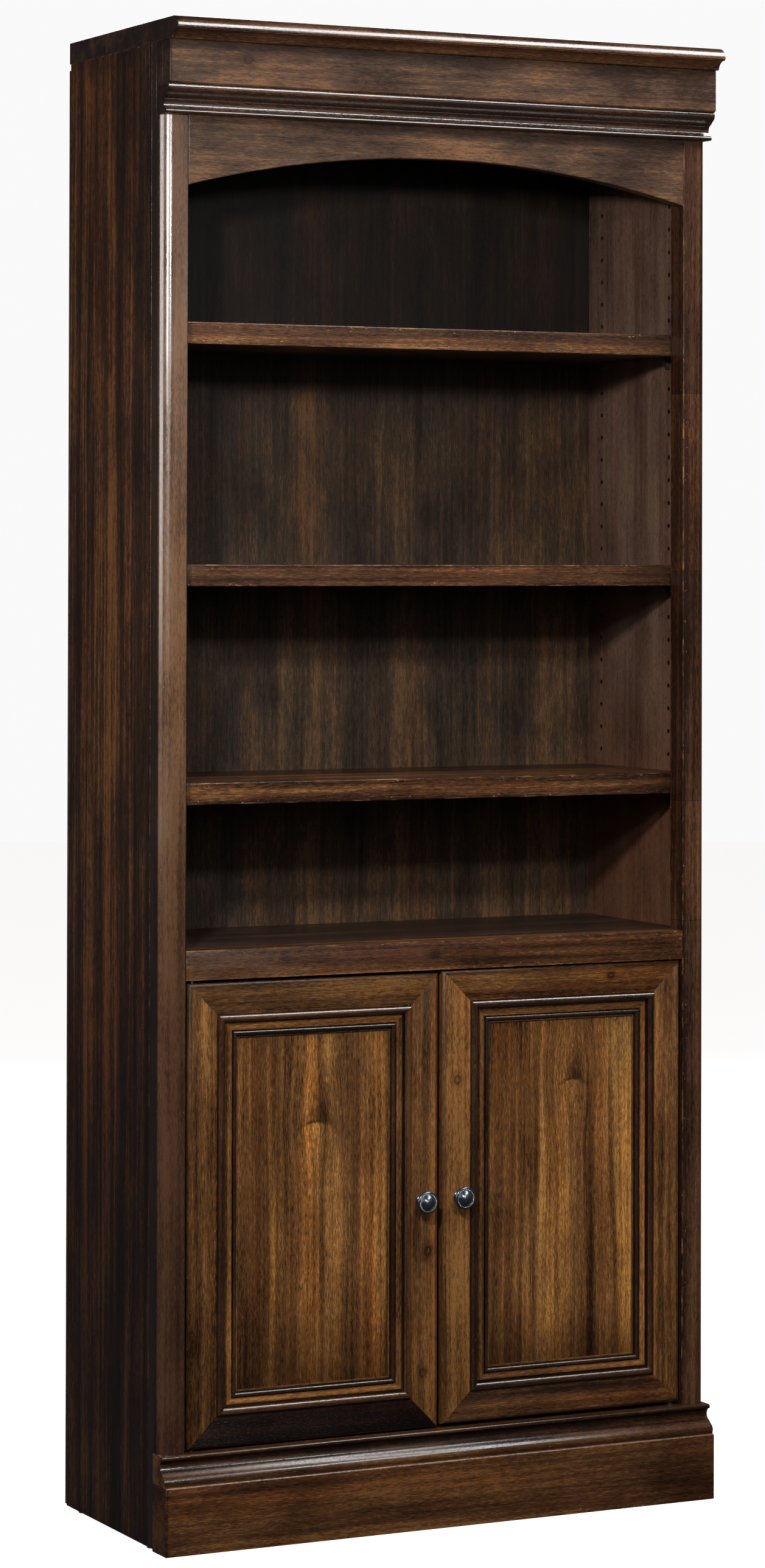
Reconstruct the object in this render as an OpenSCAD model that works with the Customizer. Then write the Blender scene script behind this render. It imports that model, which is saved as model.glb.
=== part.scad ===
/* [Overall] */
// Width of the case
case_w = 824; // [700:2:1000]
// Height of the case
case_h = 2000; // [1600:5:2400]
// Depth from the nose of the top to the back panel
case_d = 369; // [305:1:450]

/* [Case panels] */
// Thickness of a side panel
side_t = 12; // [10:0.5:20]
// Thickness of the back panel
back_t = 5; // [3:0.5:9]
// Thickness of the deck, the cabinet floor, the ceiling and the cabinet shelf
panel_t = 18; // [15:0.5:25]
// Height of the nail glides that the sides stand on
glide_h = 3; // [2:0.5:8]
// Radius of a nail glide
glide_r = 4.5; // [3:0.5:5]
// Height of the deck's top face above the floor
deck_z = 782; // [650:1:950]
// Gap from the top's underside down to the back panel
back_top_gap = 9; // [4:1:14]
// Gap from the foot of a side up to the back panel
back_foot_gap = 2; // [1:1:20]

/* [Corner posts] */
// Width of a post, seen from the front
post_w = 37.5; // [30:0.5:60]
// Depth of a post
post_d = 34.5; // [30:0.5:50]
// How far a post's face lies behind the plinth's face
post_setback = 24.5; // [22:0.5:32]
// Radius of a post's outer front corner
post_round = 16; // [6:0.5:20]
// Depth that the plinth and header ends run past a post's rounding
block_margin = 3.5; // [1:0.5:6]
// Chamfer on each side of the seam between post and side panel
seam_chamfer = 1; // [0.5:0.1:1.6]

/* [Top and header] */
// Thickness of the top
slab_t = 29; // [24:1:40]
// How far the top's nose stands in front of the plinth's face
slab_nose = 26; // [22:1:36]
// Radius of the top's nose
nose_r = 16; // [10:0.5:18]
// Step between the nose and the cove below it
nose_step = 1.5; // [0.5:0.5:3]
// Radius of the cove under the nose
slab_cove_r = 14; // [8:0.5:16]
// Height of the frieze board
frieze_h = 57; // [40:1:90]
// Height of the arched rail at its ends, below the bed moulding
arch_end_h = 91.5; // [70:0.5:130]
// Rise of the arch
arch_rise = 48.5; // [20:0.5:60]
// Thickness of the arched rail
arch_t = 20; // [16:0.5:25]
// Height of the stretcher behind the arched rail
stretcher_h = 36; // [25:1:60]

/* [Mouldings] */
// Height of the bed moulding and of the base cap
moulding_h = 38.5; // [38.5:0.5:60]
// How far the moulding's convex curve lies behind the plinth's face
ovolo_setback = 3.3; // [1:0.1:5]
// Radius of the moulding's convex curve
ovolo_r = 7.4; // [5:0.1:8]
// How far the moulding's throat lies behind the plinth's face
throat_setback = 20; // [17:0.5:20.5]
// Radius of the moulding's concave curve
cove_r = 8.7; // [7:0.1:9.5]
// Radius of the moulding's bead
bead_r = 3; // [2.5:0.1:3.6]
// How far the bead's tip lies behind the plinth's face
bead_setback = 11.6; // [8:0.1:13]
// Chamfer on the edge of the plinth and of the frieze that meets a moulding
board_chamfer = 2; // [1:0.5:4]

/* [Base] */
// Height of the plinth board
plinth_h = 89.5; // [60:0.5:150]
// Side of a square glue block behind the plinth
glue_block = 25; // [15:1:40]
// Length of a glue block
glue_block_l = 60; // [40:5:100]

/* [Middle rail] */
// Height of the rail between the shelves and the doors
rail_h = 39; // [30:0.5:60]

/* [Shelves] */
// Thickness of an open shelf
shelf_t = 29; // [18:0.5:35]
// Depth of the solid edging on an open shelf
edging_d = 18; // [10:1:40]
// Gap at each end of a shelf
shelf_end_gap = 1; // [0.5:0.5:3]
// Gap in front of and behind a shelf
shelf_gap = 1.5; // [1:0.5:4]
// Distance from one support hole to the next
pin_pitch = 32; // [25:1:50]
// Height of the lowest support hole above the deck
pin_first = 176; // [100:1:300]
// Least height from the top support hole to the arch's ends
pin_top_room = 200; // [150:1:280]
// Radius of a support hole and its peg
pin_r = 2.5; // [2:0.25:3.5]
// Depth of a support hole
pin_depth = 8; // [6:0.5:9]
// Distance of the front holes behind the posts
pin_front = 49; // [30:1:80]
// Distance of the back holes in front of the back panel
pin_back = 38; // [25:1:70]
// Height of a support's seat above its peg
seat_h = 12; // [8:0.5:16]
// How far a support reaches out of the side panel
seat_reach = 12; // [8:0.5:18]
// Width of a shelf support
seat_w = 10; // [6:0.5:14]
// Height of the lowest support hole in the cabinet above its floor
cabinet_pin_first = 160; // [100:1:260]
// Number of support holes in each row of the cabinet
cabinet_pin_count = 8; // [3:1:9]
// Hole that the cabinet shelf sits on, counted from the lowest
cabinet_shelf_hole = 3; // [0:1:5]
// Distance of the cabinet shelf's front behind the posts
cabinet_shelf_setback = 16; // [12:1:40]

/* [Doors] */
// Thickness of a door's frame
door_t = 21; // [18:0.5:28]
// How far a door's face lies behind the posts' face
door_inset = 1; // [0:0.5:4]
// Gap beside a door's hinge edge
door_side_gap = 3.5; // [3:0.25:6]
// Gap between the two doors
door_meet_gap = 6.5; // [3:0.5:10]
// Gap above the right door
door_top_gap = 2; // [1.5:0.25:5]
// Gap below the right door
door_foot_gap = 4.5; // [3.5:0.25:8]
// How much lower the left door hangs than the right one
left_drop = 2.5; // [0:0.25:3]
// Radius on a door's outer front edges
door_round = 5; // [3:0.5:8]
// Width of a door's stiles and rails
stile_w = 42; // [34:0.5:70]
// Thickness of a door's panel
door_panel_t = 6; // [4:0.5:9]
// How far a door's panel lies behind its frame's face
door_panel_inset = 7; // [4:0.5:9]
// Depth of the groove that holds the panel
groove_d = 8; // [5:0.5:12]
// Gap between the panel's edge and the bottom of its groove
panel_gap = 1; // [0.5:0.5:2]
// Width of the panel moulding
trim_w = 31; // [29:0.5:45]
// Radius of the panel moulding's outer bead
trim_bead_r = 4.8; // [3:0.2:5.4]
// Radius of the panel moulding's inner bead
trim_inner_r = 2.7; // [1.5:0.1:3]

/* [Door hardware] */
// Radius of a pivot pin
pivot_r = 2.5; // [2:0.25:3.5]
// Radial clearance of a pivot pin in its bush
pivot_clear = 0.05; // [0.02:0.01:0.1]
// Distance from a door's outer edge to its pivot
pivot_inset = 9.5; // [8:0.25:10.5]
// Outer radius of a pivot bush
bush_r = 4.5; // [4.2:0.1:5.5]
// Length of a pivot bush
bush_l = 14; // [10:1:20]
// Gap from a pivot pin's end to the bottom of its bush
pin_end_gap = 2; // [1:0.5:4]
// Thickness of a pivot plate, which is let in flush
plate_t = 2; // [1.5:0.5:3]
// Length of a pivot plate
plate_l = 46; // [40:1:60]
// Width of a pivot plate
plate_w = 12; // [11:0.5:16]
// Distance from the pivot to the first plate screw
plate_screw_first = 14; // [12:1:18]
// Distance between the plate's two screws
plate_screw_pitch = 20; // [12:1:24]
// Shank radius of a plate screw
screw_r = 1.5; // [1:0.1:2]
// Head radius of a plate screw
screw_head_r = 3; // [2.5:0.1:4]
// Length of a plate screw
screw_l = 16; // [10:1:20]
// Radius of a knob
knob_r = 15.2; // [10:0.2:20]
// Height of a knob
knob_h = 26; // [22:0.5:40]
// Radius of a knob's stem
knob_stem_r = 6; // [4.5:0.5:8]
// Distance from a door's meeting edge to its knob
knob_inset = 25; // [18:0.5:30]
// Radius of the screw that holds a knob
knob_screw_r = 2; // [1.5:0.25:3]
// Depth that the knob screw reaches into the knob
knob_screw_grip = 10; // [8:1:16]
// Head radius of the knob screw
knob_head_r = 4; // [3:0.5:6]
// Height of the knob screw's head
knob_head_h = 2.2; // [1.5:0.1:3]
// Length of the magnetic catch's housing
catch_l = 64; // [50:1:90]
// Wall of the magnetic catch's housing below and behind its magnets
catch_wall = 2.5; // [1.5:0.5:5]
// Distance from the middle to each magnet
magnet_x = 18; // [14:1:24]
// Length of a magnet
magnet_l = 20; // [12:1:22]
// Height of a magnet
magnet_h = 8; // [5:1:9]
// How far a magnet stands out of its housing
magnet_proud = 1; // [0.5:0.5:2]
// Depth that a magnet sits in its housing
magnet_seat = 6; // [4:0.5:7]
// Gap between a magnet and its strike plate
strike_gap = 0.3; // [0.2:0.1:1]
// Thickness of a strike plate
strike_t = 1.2; // [0.8:0.1:2]
// Radius of a strike plate
strike_r = 7; // [5:0.5:8]
// Distance from a door's top edge down to the middle of its strike plate
strike_drop = 9; // [8:0.5:12]

/* [Fixings] */
// Radius of a dowel
dowel_r = 4; // [3:0.5:5]
// Length of a dowel in a panel's end
dowel_l = 22; // [15:1:30]
// Length of a dowel in a side panel or a post
dowel_bite = 8; // [6:0.5:9]
// Distance of the outer dowels from a panel's front and back
dowel_inset = 40; // [30:1:60]
// Radius of a back panel screw's shank
back_screw_r = 1.5; // [1:0.1:2]
// Head radius of a back panel screw
back_head_r = 3.2; // [2.5:0.1:4]
// Length of a back panel screw
back_screw_l = 20; // [14:1:25]
// Number of back panel screws down each side
back_screw_count = 8; // [4:1:12]
// Distance of the first and last back screws from the panel's ends
back_screw_inset = 45; // [30:5:80]

/* [Hidden] */
$fn = 48;
EPS = 0.01;
BIG = 100;

WOOD = [0.24, 0.13, 0.08];
WOOD_DARK = [0.15, 0.09, 0.06];
WOOD_LIGHT = [0.40, 0.24, 0.12];
METAL_DARK = [0.18, 0.19, 0.21];
METAL = [0.62, 0.61, 0.58];
PLASTIC = [0.12, 0.11, 0.10];

// Half sizes and the main planes, from front to back
half_w = case_w / 2;
face_y = -case_d / 2 + slab_nose;
post_y = face_y + post_setback;
block_y = post_y + post_round + block_margin;
inner_y = post_y + post_d;
rear_y = case_d / 2;
back_y = rear_y - back_t;
open_w = case_w - 2 * post_w;
clear_w = case_w - 2 * side_t;

// The main heights, from the floor up
cap_z = plinth_h + moulding_h;
rail_z = deck_z - rail_h;
slab_z = case_h - slab_t;
frieze_z = slab_z - frieze_h;
bed_z = frieze_z - moulding_h;
arch_z = bed_z - arch_end_h;
ceiling_z = slab_z - panel_t;
back_foot_z = glide_h + back_foot_gap;
back_h = slab_z - back_top_gap - back_foot_z;

// Support holes and shelves
pin_z0 = deck_z + pin_first;
pin_count = floor((arch_z - pin_top_room - pin_z0) / pin_pitch) + 1;
pin_ys = [inner_y + pin_front, back_y - pin_back];
lower_hole = 0;
middle_hole = floor((pin_count - 1) / 2);
upper_hole = pin_count - 1;
cabinet_pin_z0 = cap_z + cabinet_pin_first;
shelf_front = inner_y + shelf_gap;
shelf_back = back_y - shelf_gap;
shelf_w = clear_w - 2 * shelf_end_gap;

// Doors
door_w = (open_w - 2 * door_side_gap - door_meet_gap) / 2;
door_h = rail_z - cap_z - door_top_gap - door_foot_gap;
door_y = post_y + door_inset;
door_back = door_y + door_t;
door_z = cap_z + door_foot_gap;
pivot_x = open_w / 2 - door_side_gap - pivot_inset;
pivot_y = door_y + door_t / 2;
trim_len_x = door_w - 2 * stile_w;
trim_len_z = door_h - 2 * stile_w;
strike_face = door_back + strike_t;
magnet_face = strike_face + strike_gap;
magnet_low = door_z + door_h - strike_drop - left_drop / 2 - magnet_h / 2;
knob_x = door_w - knob_inset;
knob_z = door_h / 2;

// ---- helpers ----

// Points along an arc about c, from angle a to angle b
function arc(c, r, a, b, n = 8) =
    [for (i = [0:n]) let (t = a + (b - a) * i / n) c + r * [cos(t), sin(t)]];

// A box from its low corner to its high corner
module block(low, high) {
    translate(low) cube(high - low);
}

// Extrudes a (depth, height) section along the width
module along_x(x0, x1) {
    translate([x0, 0, 0]) rotate([90, 0, 90]) linear_extrude(x1 - x0) children();
}

// Both sides of the case
module both_sides() {
    children();
    mirror([1, 0, 0]) children();
}

// A cylinder lying along +X or along +Y
module rod_x(r, l) {
    rotate([0, 90, 0]) cylinder(r = r, h = l);
}

module rod_y(r, l) {
    rotate([-90, 0, 0]) cylinder(r = r, h = l);
}

// ---- sections ----

// Moulding section: foot at the origin, face towards -X, bead at the top
module moulding_section(depth) {
    ovolo_c = [ovolo_setback + ovolo_r, 5];
    cove_c = [throat_setback - cove_r, 25];
    bead_c = [bead_setback + bead_r, moulding_h - bead_r];
    slope = [for (t = [0, 1]) (ovolo_c + ovolo_r * [cos(125), sin(125)]) * (1 - t)
                              + (cove_c + cove_r * [cos(-55), sin(-55)]) * t];
    ridge = (slope[0] + slope[1]) / 2;
    ledge = [bead_c[0] + 2, bead_c[1] - bead_r - 0.6];
    polygon(concat(
        [[depth, 0], [ovolo_setback + 1, 0]],
        arc(ovolo_c, ovolo_r, 210, 125),
        [ridge, ridge + [0.3, 0.9]],
        arc(cove_c, cove_r, -50, 20),
        [ledge, ledge + [-1, 0.2]],
        arc(bead_c, bead_r, 235, 90, 10),
        [[depth, moulding_h]]
    ));
}

// Section of the top: underside at y = 0, plinth face at x = 0
module slab_section() {
    back = case_d - slab_nose;
    nose_x = -slab_nose + nose_r;
    nose_y = slab_t - nose_r;
    cove_lip = 1.4;
    cove_x = 4.4;
    translate([nose_x, 0]) square([back - nose_x, slab_t]);
    intersection() {
        translate([nose_x, nose_y]) circle(nose_r);
        translate([-slab_nose, nose_y]) square(nose_r);
    }
    difference() {
        translate([-slab_nose + nose_step, 0]) square([nose_r - nose_step, nose_y]);
        translate([-slab_nose + cove_x, nose_y - cove_lip - slab_cove_r]) circle(slab_cove_r);
    }
}

// Section of a post between its two ends, for the left side
module post_section() {
    x0 = -half_w;
    difference() {
        union() {
            translate([x0 + post_round, post_y]) square([post_w - post_round, post_d]);
            translate([x0, post_y + post_round]) square([post_w, post_d - post_round]);
            translate([x0 + post_round, post_y + post_round]) circle(post_round);
        }
        seam_cut(x0);
    }
}

// V cut at the seam between the left post and the left side panel
module seam_cut(x0) {
    polygon([[x0 - EPS, inner_y - seam_chamfer - EPS], [x0 + seam_chamfer, inner_y],
             [x0 - EPS, inner_y + seam_chamfer + EPS]]);
}

// Section of a door's stile or rail, as (depth, distance from the outer edge)
module frame_section() {
    difference() {
        union() {
            translate([door_round, 0]) square([door_t - door_round, stile_w]);
            translate([0, door_round]) square([door_t, stile_w - door_round]);
            translate([door_round, door_round]) circle(door_round);
        }
        translate([door_panel_inset, stile_w - groove_d]) square([door_panel_t, groove_d + 1]);
    }
}

// Section of the panel moulding, as (depth behind the door's face, distance from the frame)
module trim_section() {
    outer = 2 * trim_bead_r;
    inner = trim_w - 3.3;
    polygon(concat(
        [[door_panel_inset, 0]],
        arc([-0.5, trim_bead_r], trim_bead_r, 270, 90),
        [[2, outer], [2, outer + 2], [-0.2, outer + 4], [0.6, inner - 2 * trim_inner_r - 1],
         [2, inner - 2 * trim_inner_r]],
        arc([1.8, inner - trim_inner_r], trim_inner_r, 270, 90),
        [[4.5, inner], [4.5, trim_w], [door_panel_inset, trim_w]]
    ));
}

// A bar along +X with 45 degree ends that narrow it by w at each end
module mitred_bar(l, w) {
    intersection() {
        along_x(0, l) children();
        translate([0, BIG, 0]) rotate([90, 0, 0]) linear_extrude(2 * BIG)
            polygon([[0, 0], [l, 0], [l - w, w], [w, w]]);
    }
}

// Puts a bar along the bottom, top, outer or inner edge of a w by h frame
module on_edge(edge, w, h) {
    if (edge == "bottom") children();
    if (edge == "top") translate([0, 0, h]) mirror([0, 0, 1]) children();
    if (edge == "outer") mirror([1, 0, 0]) rotate([0, -90, 0]) children();
    if (edge == "inner") translate([w, 0, 0]) rotate([0, -90, 0]) children();
}

// ---- case ----

module support_holes(z0, count) {
    for (y = pin_ys, i = [0:count - 1])
        translate([-half_w + side_t - pin_depth, y, z0 + i * pin_pitch]) rod_x(pin_r, pin_depth + 1);
}

// Centres of the dowels at one end of a panel whose middle is at height z
dowel_ys = [inner_y + dowel_inset, (inner_y + back_y) / 2, back_y - dowel_inset];
function dowel_points(z) = [for (y = dowel_ys) [y, z]];
panel_dowels = concat(dowel_points(cap_z - panel_t / 2), dowel_points(deck_z - panel_t / 2),
                      dowel_points(ceiling_z + panel_t / 2));
rail_dowels = [for (side = [-1, 1]) [inner_y - post_d / 2, deck_z - rail_h / 2 + side * rail_h / 4]];

// The left side's dowels, which also cut their own holes
module left_dowels() {
    for (p = panel_dowels) translate([-half_w + side_t - dowel_bite, p[0], p[1]])
        rod_x(dowel_r, dowel_l + dowel_bite);
    for (p = rail_dowels) translate([-half_w + post_w - dowel_bite, p[0], p[1]])
        rod_x(dowel_r, dowel_l + dowel_bite);
}

module left_side() {
    difference() {
        translate([0, 0, glide_h]) linear_extrude(slab_z - glide_h) difference() {
            translate([-half_w, inner_y]) square([side_t, back_y - inner_y]);
            seam_cut(-half_w);
        }
        support_holes(pin_z0, pin_count);
        support_holes(cabinet_pin_z0, cabinet_pin_count);
        left_dowels();
        left_back_screws();
    }
}

module side_panel_left() {
    color(WOOD_DARK) left_side();
}

module side_panel_right() {
    color(WOOD_DARK) mirror([1, 0, 0]) left_side();
}

module left_post() {
    difference() {
        union() {
            translate([0, 0, cap_z]) linear_extrude(bed_z - cap_z) post_section();
            translate([0, 0, glide_h]) linear_extrude(slab_z - glide_h) difference() {
                translate([-half_w, block_y]) square([post_w, inner_y - block_y]);
                seam_cut(-half_w);
            }
        }
        left_dowels();
    }
}

module post_left() {
    color(WOOD) left_post();
}

module post_right() {
    color(WOOD) mirror([1, 0, 0]) left_post();
}

module top_slab() {
    color(WOOD) translate([0, face_y, slab_z]) along_x(-half_w, half_w) slab_section();
}

module ceiling_panel() {
    color(WOOD_DARK) difference() {
        block([-clear_w / 2, inner_y, ceiling_z], [clear_w / 2, back_y, slab_z]);
        both_sides() left_dowels();
    }
}

module top_stretcher() {
    color(WOOD_DARK) block([-open_w / 2, post_y + arch_t, slab_z - stretcher_h],
                           [open_w / 2, inner_y, slab_z]);
}

// A board across the front of height h, chamfered along its upper front edge, whose
// ends run back beside the posts' faces
module fronted_board(h) {
    c = board_chamfer;
    along_x(-half_w, half_w)
        polygon([[face_y, 0], [post_y, 0], [post_y, h], [face_y + c, h], [face_y, h - c]]);
    both_sides() block([-half_w, post_y - EPS, 0], [-open_w / 2, block_y, h]);
}

module frieze_board() {
    color(WOOD) translate([0, 0, slab_z]) mirror([0, 0, 1]) fronted_board(frieze_h);
}

module bed_moulding() {
    color(WOOD) translate([0, face_y, frieze_z]) mirror([0, 0, 1]) {
        along_x(-half_w, half_w) moulding_section(post_setback);
        both_sides() along_x(-half_w, -open_w / 2) moulding_section(block_y - face_y);
    }
}

module arch_rail() {
    arch_r = (pow(open_w / 2, 2) + pow(arch_rise, 2)) / (2 * arch_rise);
    color(WOOD) difference() {
        block([-open_w / 2, post_y, arch_z], [open_w / 2, post_y + arch_t, slab_z]);
        translate([0, post_y - 1, arch_z + arch_rise - arch_r]) rod_y(arch_r, arch_t + 2, $fn = 96);
    }
}

module mid_rail() {
    color(WOOD) difference() {
        block([-open_w / 2, post_y, rail_z], [open_w / 2, inner_y, deck_z]);
        both_sides() {
            left_dowels();
            translate([-pivot_x, pivot_y, rail_z]) pivot_pocket();
        }
    }
}

module deck_panel() {
    color(WOOD) difference() {
        block([-clear_w / 2, inner_y, deck_z - panel_t], [clear_w / 2, back_y, deck_z]);
        both_sides() left_dowels();
    }
}

module cabinet_floor() {
    color(WOOD_DARK) difference() {
        block([-clear_w / 2, inner_y, cap_z - panel_t], [clear_w / 2, back_y, cap_z]);
        both_sides() left_dowels();
    }
}

module plinth_board() {
    color(WOOD) fronted_board(plinth_h);
}

module base_cap() {
    color(WOOD) difference() {
        translate([0, face_y, plinth_h]) {
            along_x(-half_w, half_w) moulding_section(block_y - face_y);
            along_x(-open_w / 2, open_w / 2) moulding_section(inner_y - face_y);
        }
        both_sides() translate([-pivot_x, pivot_y, cap_z]) mirror([0, 0, 1]) pivot_pocket();
    }
}

module left_back_screws() {
    step = (back_h - 2 * back_screw_inset) / (back_screw_count - 1);
    for (i = [0:back_screw_count - 1])
        translate([-half_w + side_t / 2, rear_y, back_foot_z + back_screw_inset + i * step]) back_screw();
}

// A countersunk screw driven forwards, its head flush with the back panel
module back_screw() {
    rotate([90, 0, 0]) {
        cylinder(r = back_screw_r, h = back_screw_l);
        cylinder(r1 = back_head_r, r2 = back_screw_r, h = back_head_r - back_screw_r);
    }
}

module back_panel() {
    color(WOOD_DARK) difference() {
        block([-half_w, back_y, back_foot_z], [half_w, rear_y, back_foot_z + back_h]);
        both_sides() left_back_screws();
    }
}

module back_screws() {
    color(METAL) both_sides() left_back_screws();
}

module plinth_glue_blocks() {
    span = open_w - 2 * glue_block_l;
    color(WOOD_LIGHT) for (i = [0:3]) {
        x = -open_w / 2 + glue_block_l / 2 + i * span / 3;
        block([x, post_y, plinth_h - glue_block], [x + glue_block_l, post_y + glue_block, plinth_h]);
    }
}

module case_dowels() {
    color(WOOD_LIGHT) both_sides() left_dowels();
}

module nail_glides() {
    color(METAL_DARK) both_sides() for (y = [inner_y + glide_r + 1, back_y - dowel_inset])
        translate([-half_w + side_t / 2, y, 0]) rotate_extrude()
            polygon([[0, 0], [glide_r - 1, 0], [glide_r, 1], [glide_r, glide_h], [0, glide_h]]);
}

// ---- shelves ----

// A wedge-shaped support with its peg in the left side panel
module support() {
    foot = 2 * pin_r;
    lip = 2.5;
    translate([-half_w + side_t, 0, 0]) {
        translate([-pin_depth, 0, 0]) rod_x(pin_r, pin_depth + 1);
        translate([0, seat_w / 2, 0]) rotate([90, 0, 0]) linear_extrude(seat_w)
            polygon([[0, -foot], [lip, -foot], [seat_reach, seat_h - lip],
                     [seat_reach, seat_h], [0, seat_h]]);
    }
}

module four_supports(z) {
    color(METAL) both_sides() for (y = pin_ys) translate([0, y, z]) support();
}

function hole_z(i) = pin_z0 + i * pin_pitch;
cabinet_hole_z = cabinet_pin_z0 + cabinet_shelf_hole * pin_pitch;

module supports_upper() {
    four_supports(hole_z(upper_hole));
}

module supports_middle() {
    four_supports(hole_z(middle_hole));
}

module supports_lower() {
    four_supports(hole_z(lower_hole));
}

module supports_cabinet() {
    four_supports(cabinet_hole_z);
}

module shelf_board(hole) {
    z = hole_z(hole) + seat_h;
    color(WOOD) block([-shelf_w / 2, shelf_front + edging_d, z], [shelf_w / 2, shelf_back, z + shelf_t]);
}

module shelf_edging(hole) {
    z = hole_z(hole) + seat_h;
    color(WOOD) block([-shelf_w / 2, shelf_front, z], [shelf_w / 2, shelf_front + edging_d, z + shelf_t]);
}

module shelf_upper_board() {
    shelf_board(upper_hole);
}

module shelf_upper_edging() {
    shelf_edging(upper_hole);
}

module shelf_middle_board() {
    shelf_board(middle_hole);
}

module shelf_middle_edging() {
    shelf_edging(middle_hole);
}

module shelf_lower_board() {
    shelf_board(lower_hole);
}

module shelf_lower_edging() {
    shelf_edging(lower_hole);
}

module cabinet_shelf() {
    z = cabinet_hole_z + seat_h;
    color(WOOD_DARK) block([-shelf_w / 2, inner_y + cabinet_shelf_setback, z],
                           [shelf_w / 2, shelf_back, z + panel_t]);
}

// ---- hardware on the case ----

// Magnetic catch for both doors, under the middle rail
module catch_housing() {
    y0 = magnet_face + magnet_proud;
    y1 = y0 + magnet_seat + catch_wall;
    color(PLASTIC) difference() {
        block([-catch_l / 2, y0, magnet_low - catch_wall], [catch_l / 2, y1, rail_z]);
        both_sides() magnet();
    }
}

module magnet() {
    block([-magnet_x - magnet_l / 2, magnet_face, magnet_low],
          [-magnet_x + magnet_l / 2, magnet_face + magnet_proud + magnet_seat, magnet_low + magnet_h]);
}

module catch_magnets() {
    color(METAL_DARK) both_sides() magnet();
}

// Plate outline about the pivot, running towards the middle of the case
module plate_outline() {
    translate([-plate_w / 2, -plate_w / 2]) square([plate_l, plate_w]);
}

module plate_screw() {
    cylinder(r = screw_r, h = screw_l);
    cylinder(r1 = screw_head_r, r2 = screw_r, h = screw_head_r - screw_r);
}

module plate_screw_pair() {
    for (i = [0, 1]) translate([plate_screw_first + i * plate_screw_pitch, 0, 0]) plate_screw();
}

// The pocket for a plate in the wood above it, with the screws' holes
module pivot_pocket() {
    translate([0, 0, -1]) linear_extrude(plate_t + 1) plate_outline();
    plate_screw_pair();
}

// A plate let into the wood above z = 0, with its pin reaching down by l
module pivot_plate(l) {
    difference() {
        linear_extrude(plate_t) plate_outline();
        plate_screw_pair();
    }
    translate([0, 0, -l]) cylinder(r = pivot_r, h = l + plate_t / 2);
}

module left_pivots(drop) {
    top_gap = door_top_gap + drop;
    foot_gap = door_foot_gap - drop;
    grip = bush_l - pin_end_gap;
    color(METAL) translate([-pivot_x, pivot_y, 0]) {
        translate([0, 0, rail_z]) pivot_plate(top_gap + grip);
        translate([0, 0, cap_z]) mirror([0, 0, 1]) pivot_plate(foot_gap + grip);
    }
}

module pivots_left() {
    left_pivots(left_drop);
}

module pivots_right() {
    mirror([1, 0, 0]) left_pivots(0);
}

module washer(h) {
    color(PLASTIC) translate([-pivot_x, pivot_y, cap_z]) difference() {
        cylinder(r = bush_r, h = h);
        translate([0, 0, -1]) cylinder(r = pivot_r + pivot_clear, h = h + 2);
    }
}

module pivot_washers() {
    washer(door_foot_gap - left_drop);
    mirror([1, 0, 0]) washer(door_foot_gap);
}

module pivot_screws() {
    color(METAL) both_sides() translate([-pivot_x, pivot_y, 0]) {
        translate([0, 0, rail_z]) plate_screw_pair();
        translate([0, 0, cap_z]) mirror([0, 0, 1]) plate_screw_pair();
    }
}

// ---- doors: each piece is made for the left door, hinge edge at x = 0 ----

module place_left() {
    translate([-open_w / 2 + door_side_gap, door_y, door_z - left_drop]) children();
}

module place_right() {
    mirror([1, 0, 0]) translate([-open_w / 2 + door_side_gap, door_y, door_z]) children();
}

module bush_hole(grow) {
    for (z = [-grow, door_h - bush_l]) translate([pivot_inset, door_t / 2, z])
        cylinder(r = bush_r, h = bush_l + grow);
}

module knob_hole() {
    translate([knob_x, -1, knob_z]) rod_y(knob_screw_r, door_t + 2);
}

module door_member(edge, l) {
    color(WOOD_LIGHT) difference() {
        on_edge(edge, door_w, door_h) mitred_bar(l, stile_w) frame_section();
        bush_hole(1);
        knob_hole();
    }
}

module door_panel() {
    x0 = stile_w - groove_d + panel_gap;
    color(WOOD_LIGHT) block([x0, door_panel_inset, x0],
                            [door_w - x0, door_panel_inset + door_panel_t, door_h - x0]);
}

module door_trim() {
    color(WOOD) translate([stile_w, 0, stile_w]) {
        for (edge = ["bottom", "top"])
            on_edge(edge, trim_len_x, trim_len_z) mitred_bar(trim_len_x, trim_w) trim_section();
        for (edge = ["outer", "inner"])
            on_edge(edge, trim_len_x, trim_len_z) mitred_bar(trim_len_z, trim_w) trim_section();
    }
}

module door_bushes() {
    bore = bush_l - 1;
    color(PLASTIC) for (top = [0, 1]) translate([pivot_inset, door_t / 2, top * door_h]) mirror([0, 0, top])
        difference() {
            cylinder(r = bush_r, h = bush_l);
            translate([0, 0, -1]) cylinder(r = pivot_r + pivot_clear, h = bore + 1);
        }
}

module door_strike() {
    x = open_w / 2 - door_side_gap - magnet_x;
    color(METAL) translate([x, door_t, door_h - strike_drop]) rod_y(strike_r, strike_t);
}

module door_knob() {
    lip = 2;
    dome_h = 6;
    cone_h = 6;
    rim_h = knob_h - dome_h - 1;
    dome_base = knob_r - lip;
    dome_r = (pow(dome_base, 2) + pow(dome_h, 2)) / (2 * dome_h);
    color(METAL_DARK) translate([knob_x, 0, knob_z]) rotate([90, 0, 0]) difference() {
        union() {
            cylinder(r = knob_stem_r + lip, h = lip);
            cylinder(r = knob_stem_r, h = rim_h);
            translate([0, 0, rim_h - 1 - cone_h]) cylinder(r1 = knob_stem_r, r2 = knob_r, h = cone_h);
            translate([0, 0, rim_h - 1]) cylinder(r = knob_r, h = 2);
            intersection() {
                translate([0, 0, knob_h - dome_r]) sphere(dome_r);
                translate([0, 0, rim_h]) cylinder(r = dome_base, h = 2 * dome_h);
            }
        }
        translate([0, 0, -1]) cylinder(r = knob_screw_r, h = knob_screw_grip + 1);
    }
}

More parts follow.
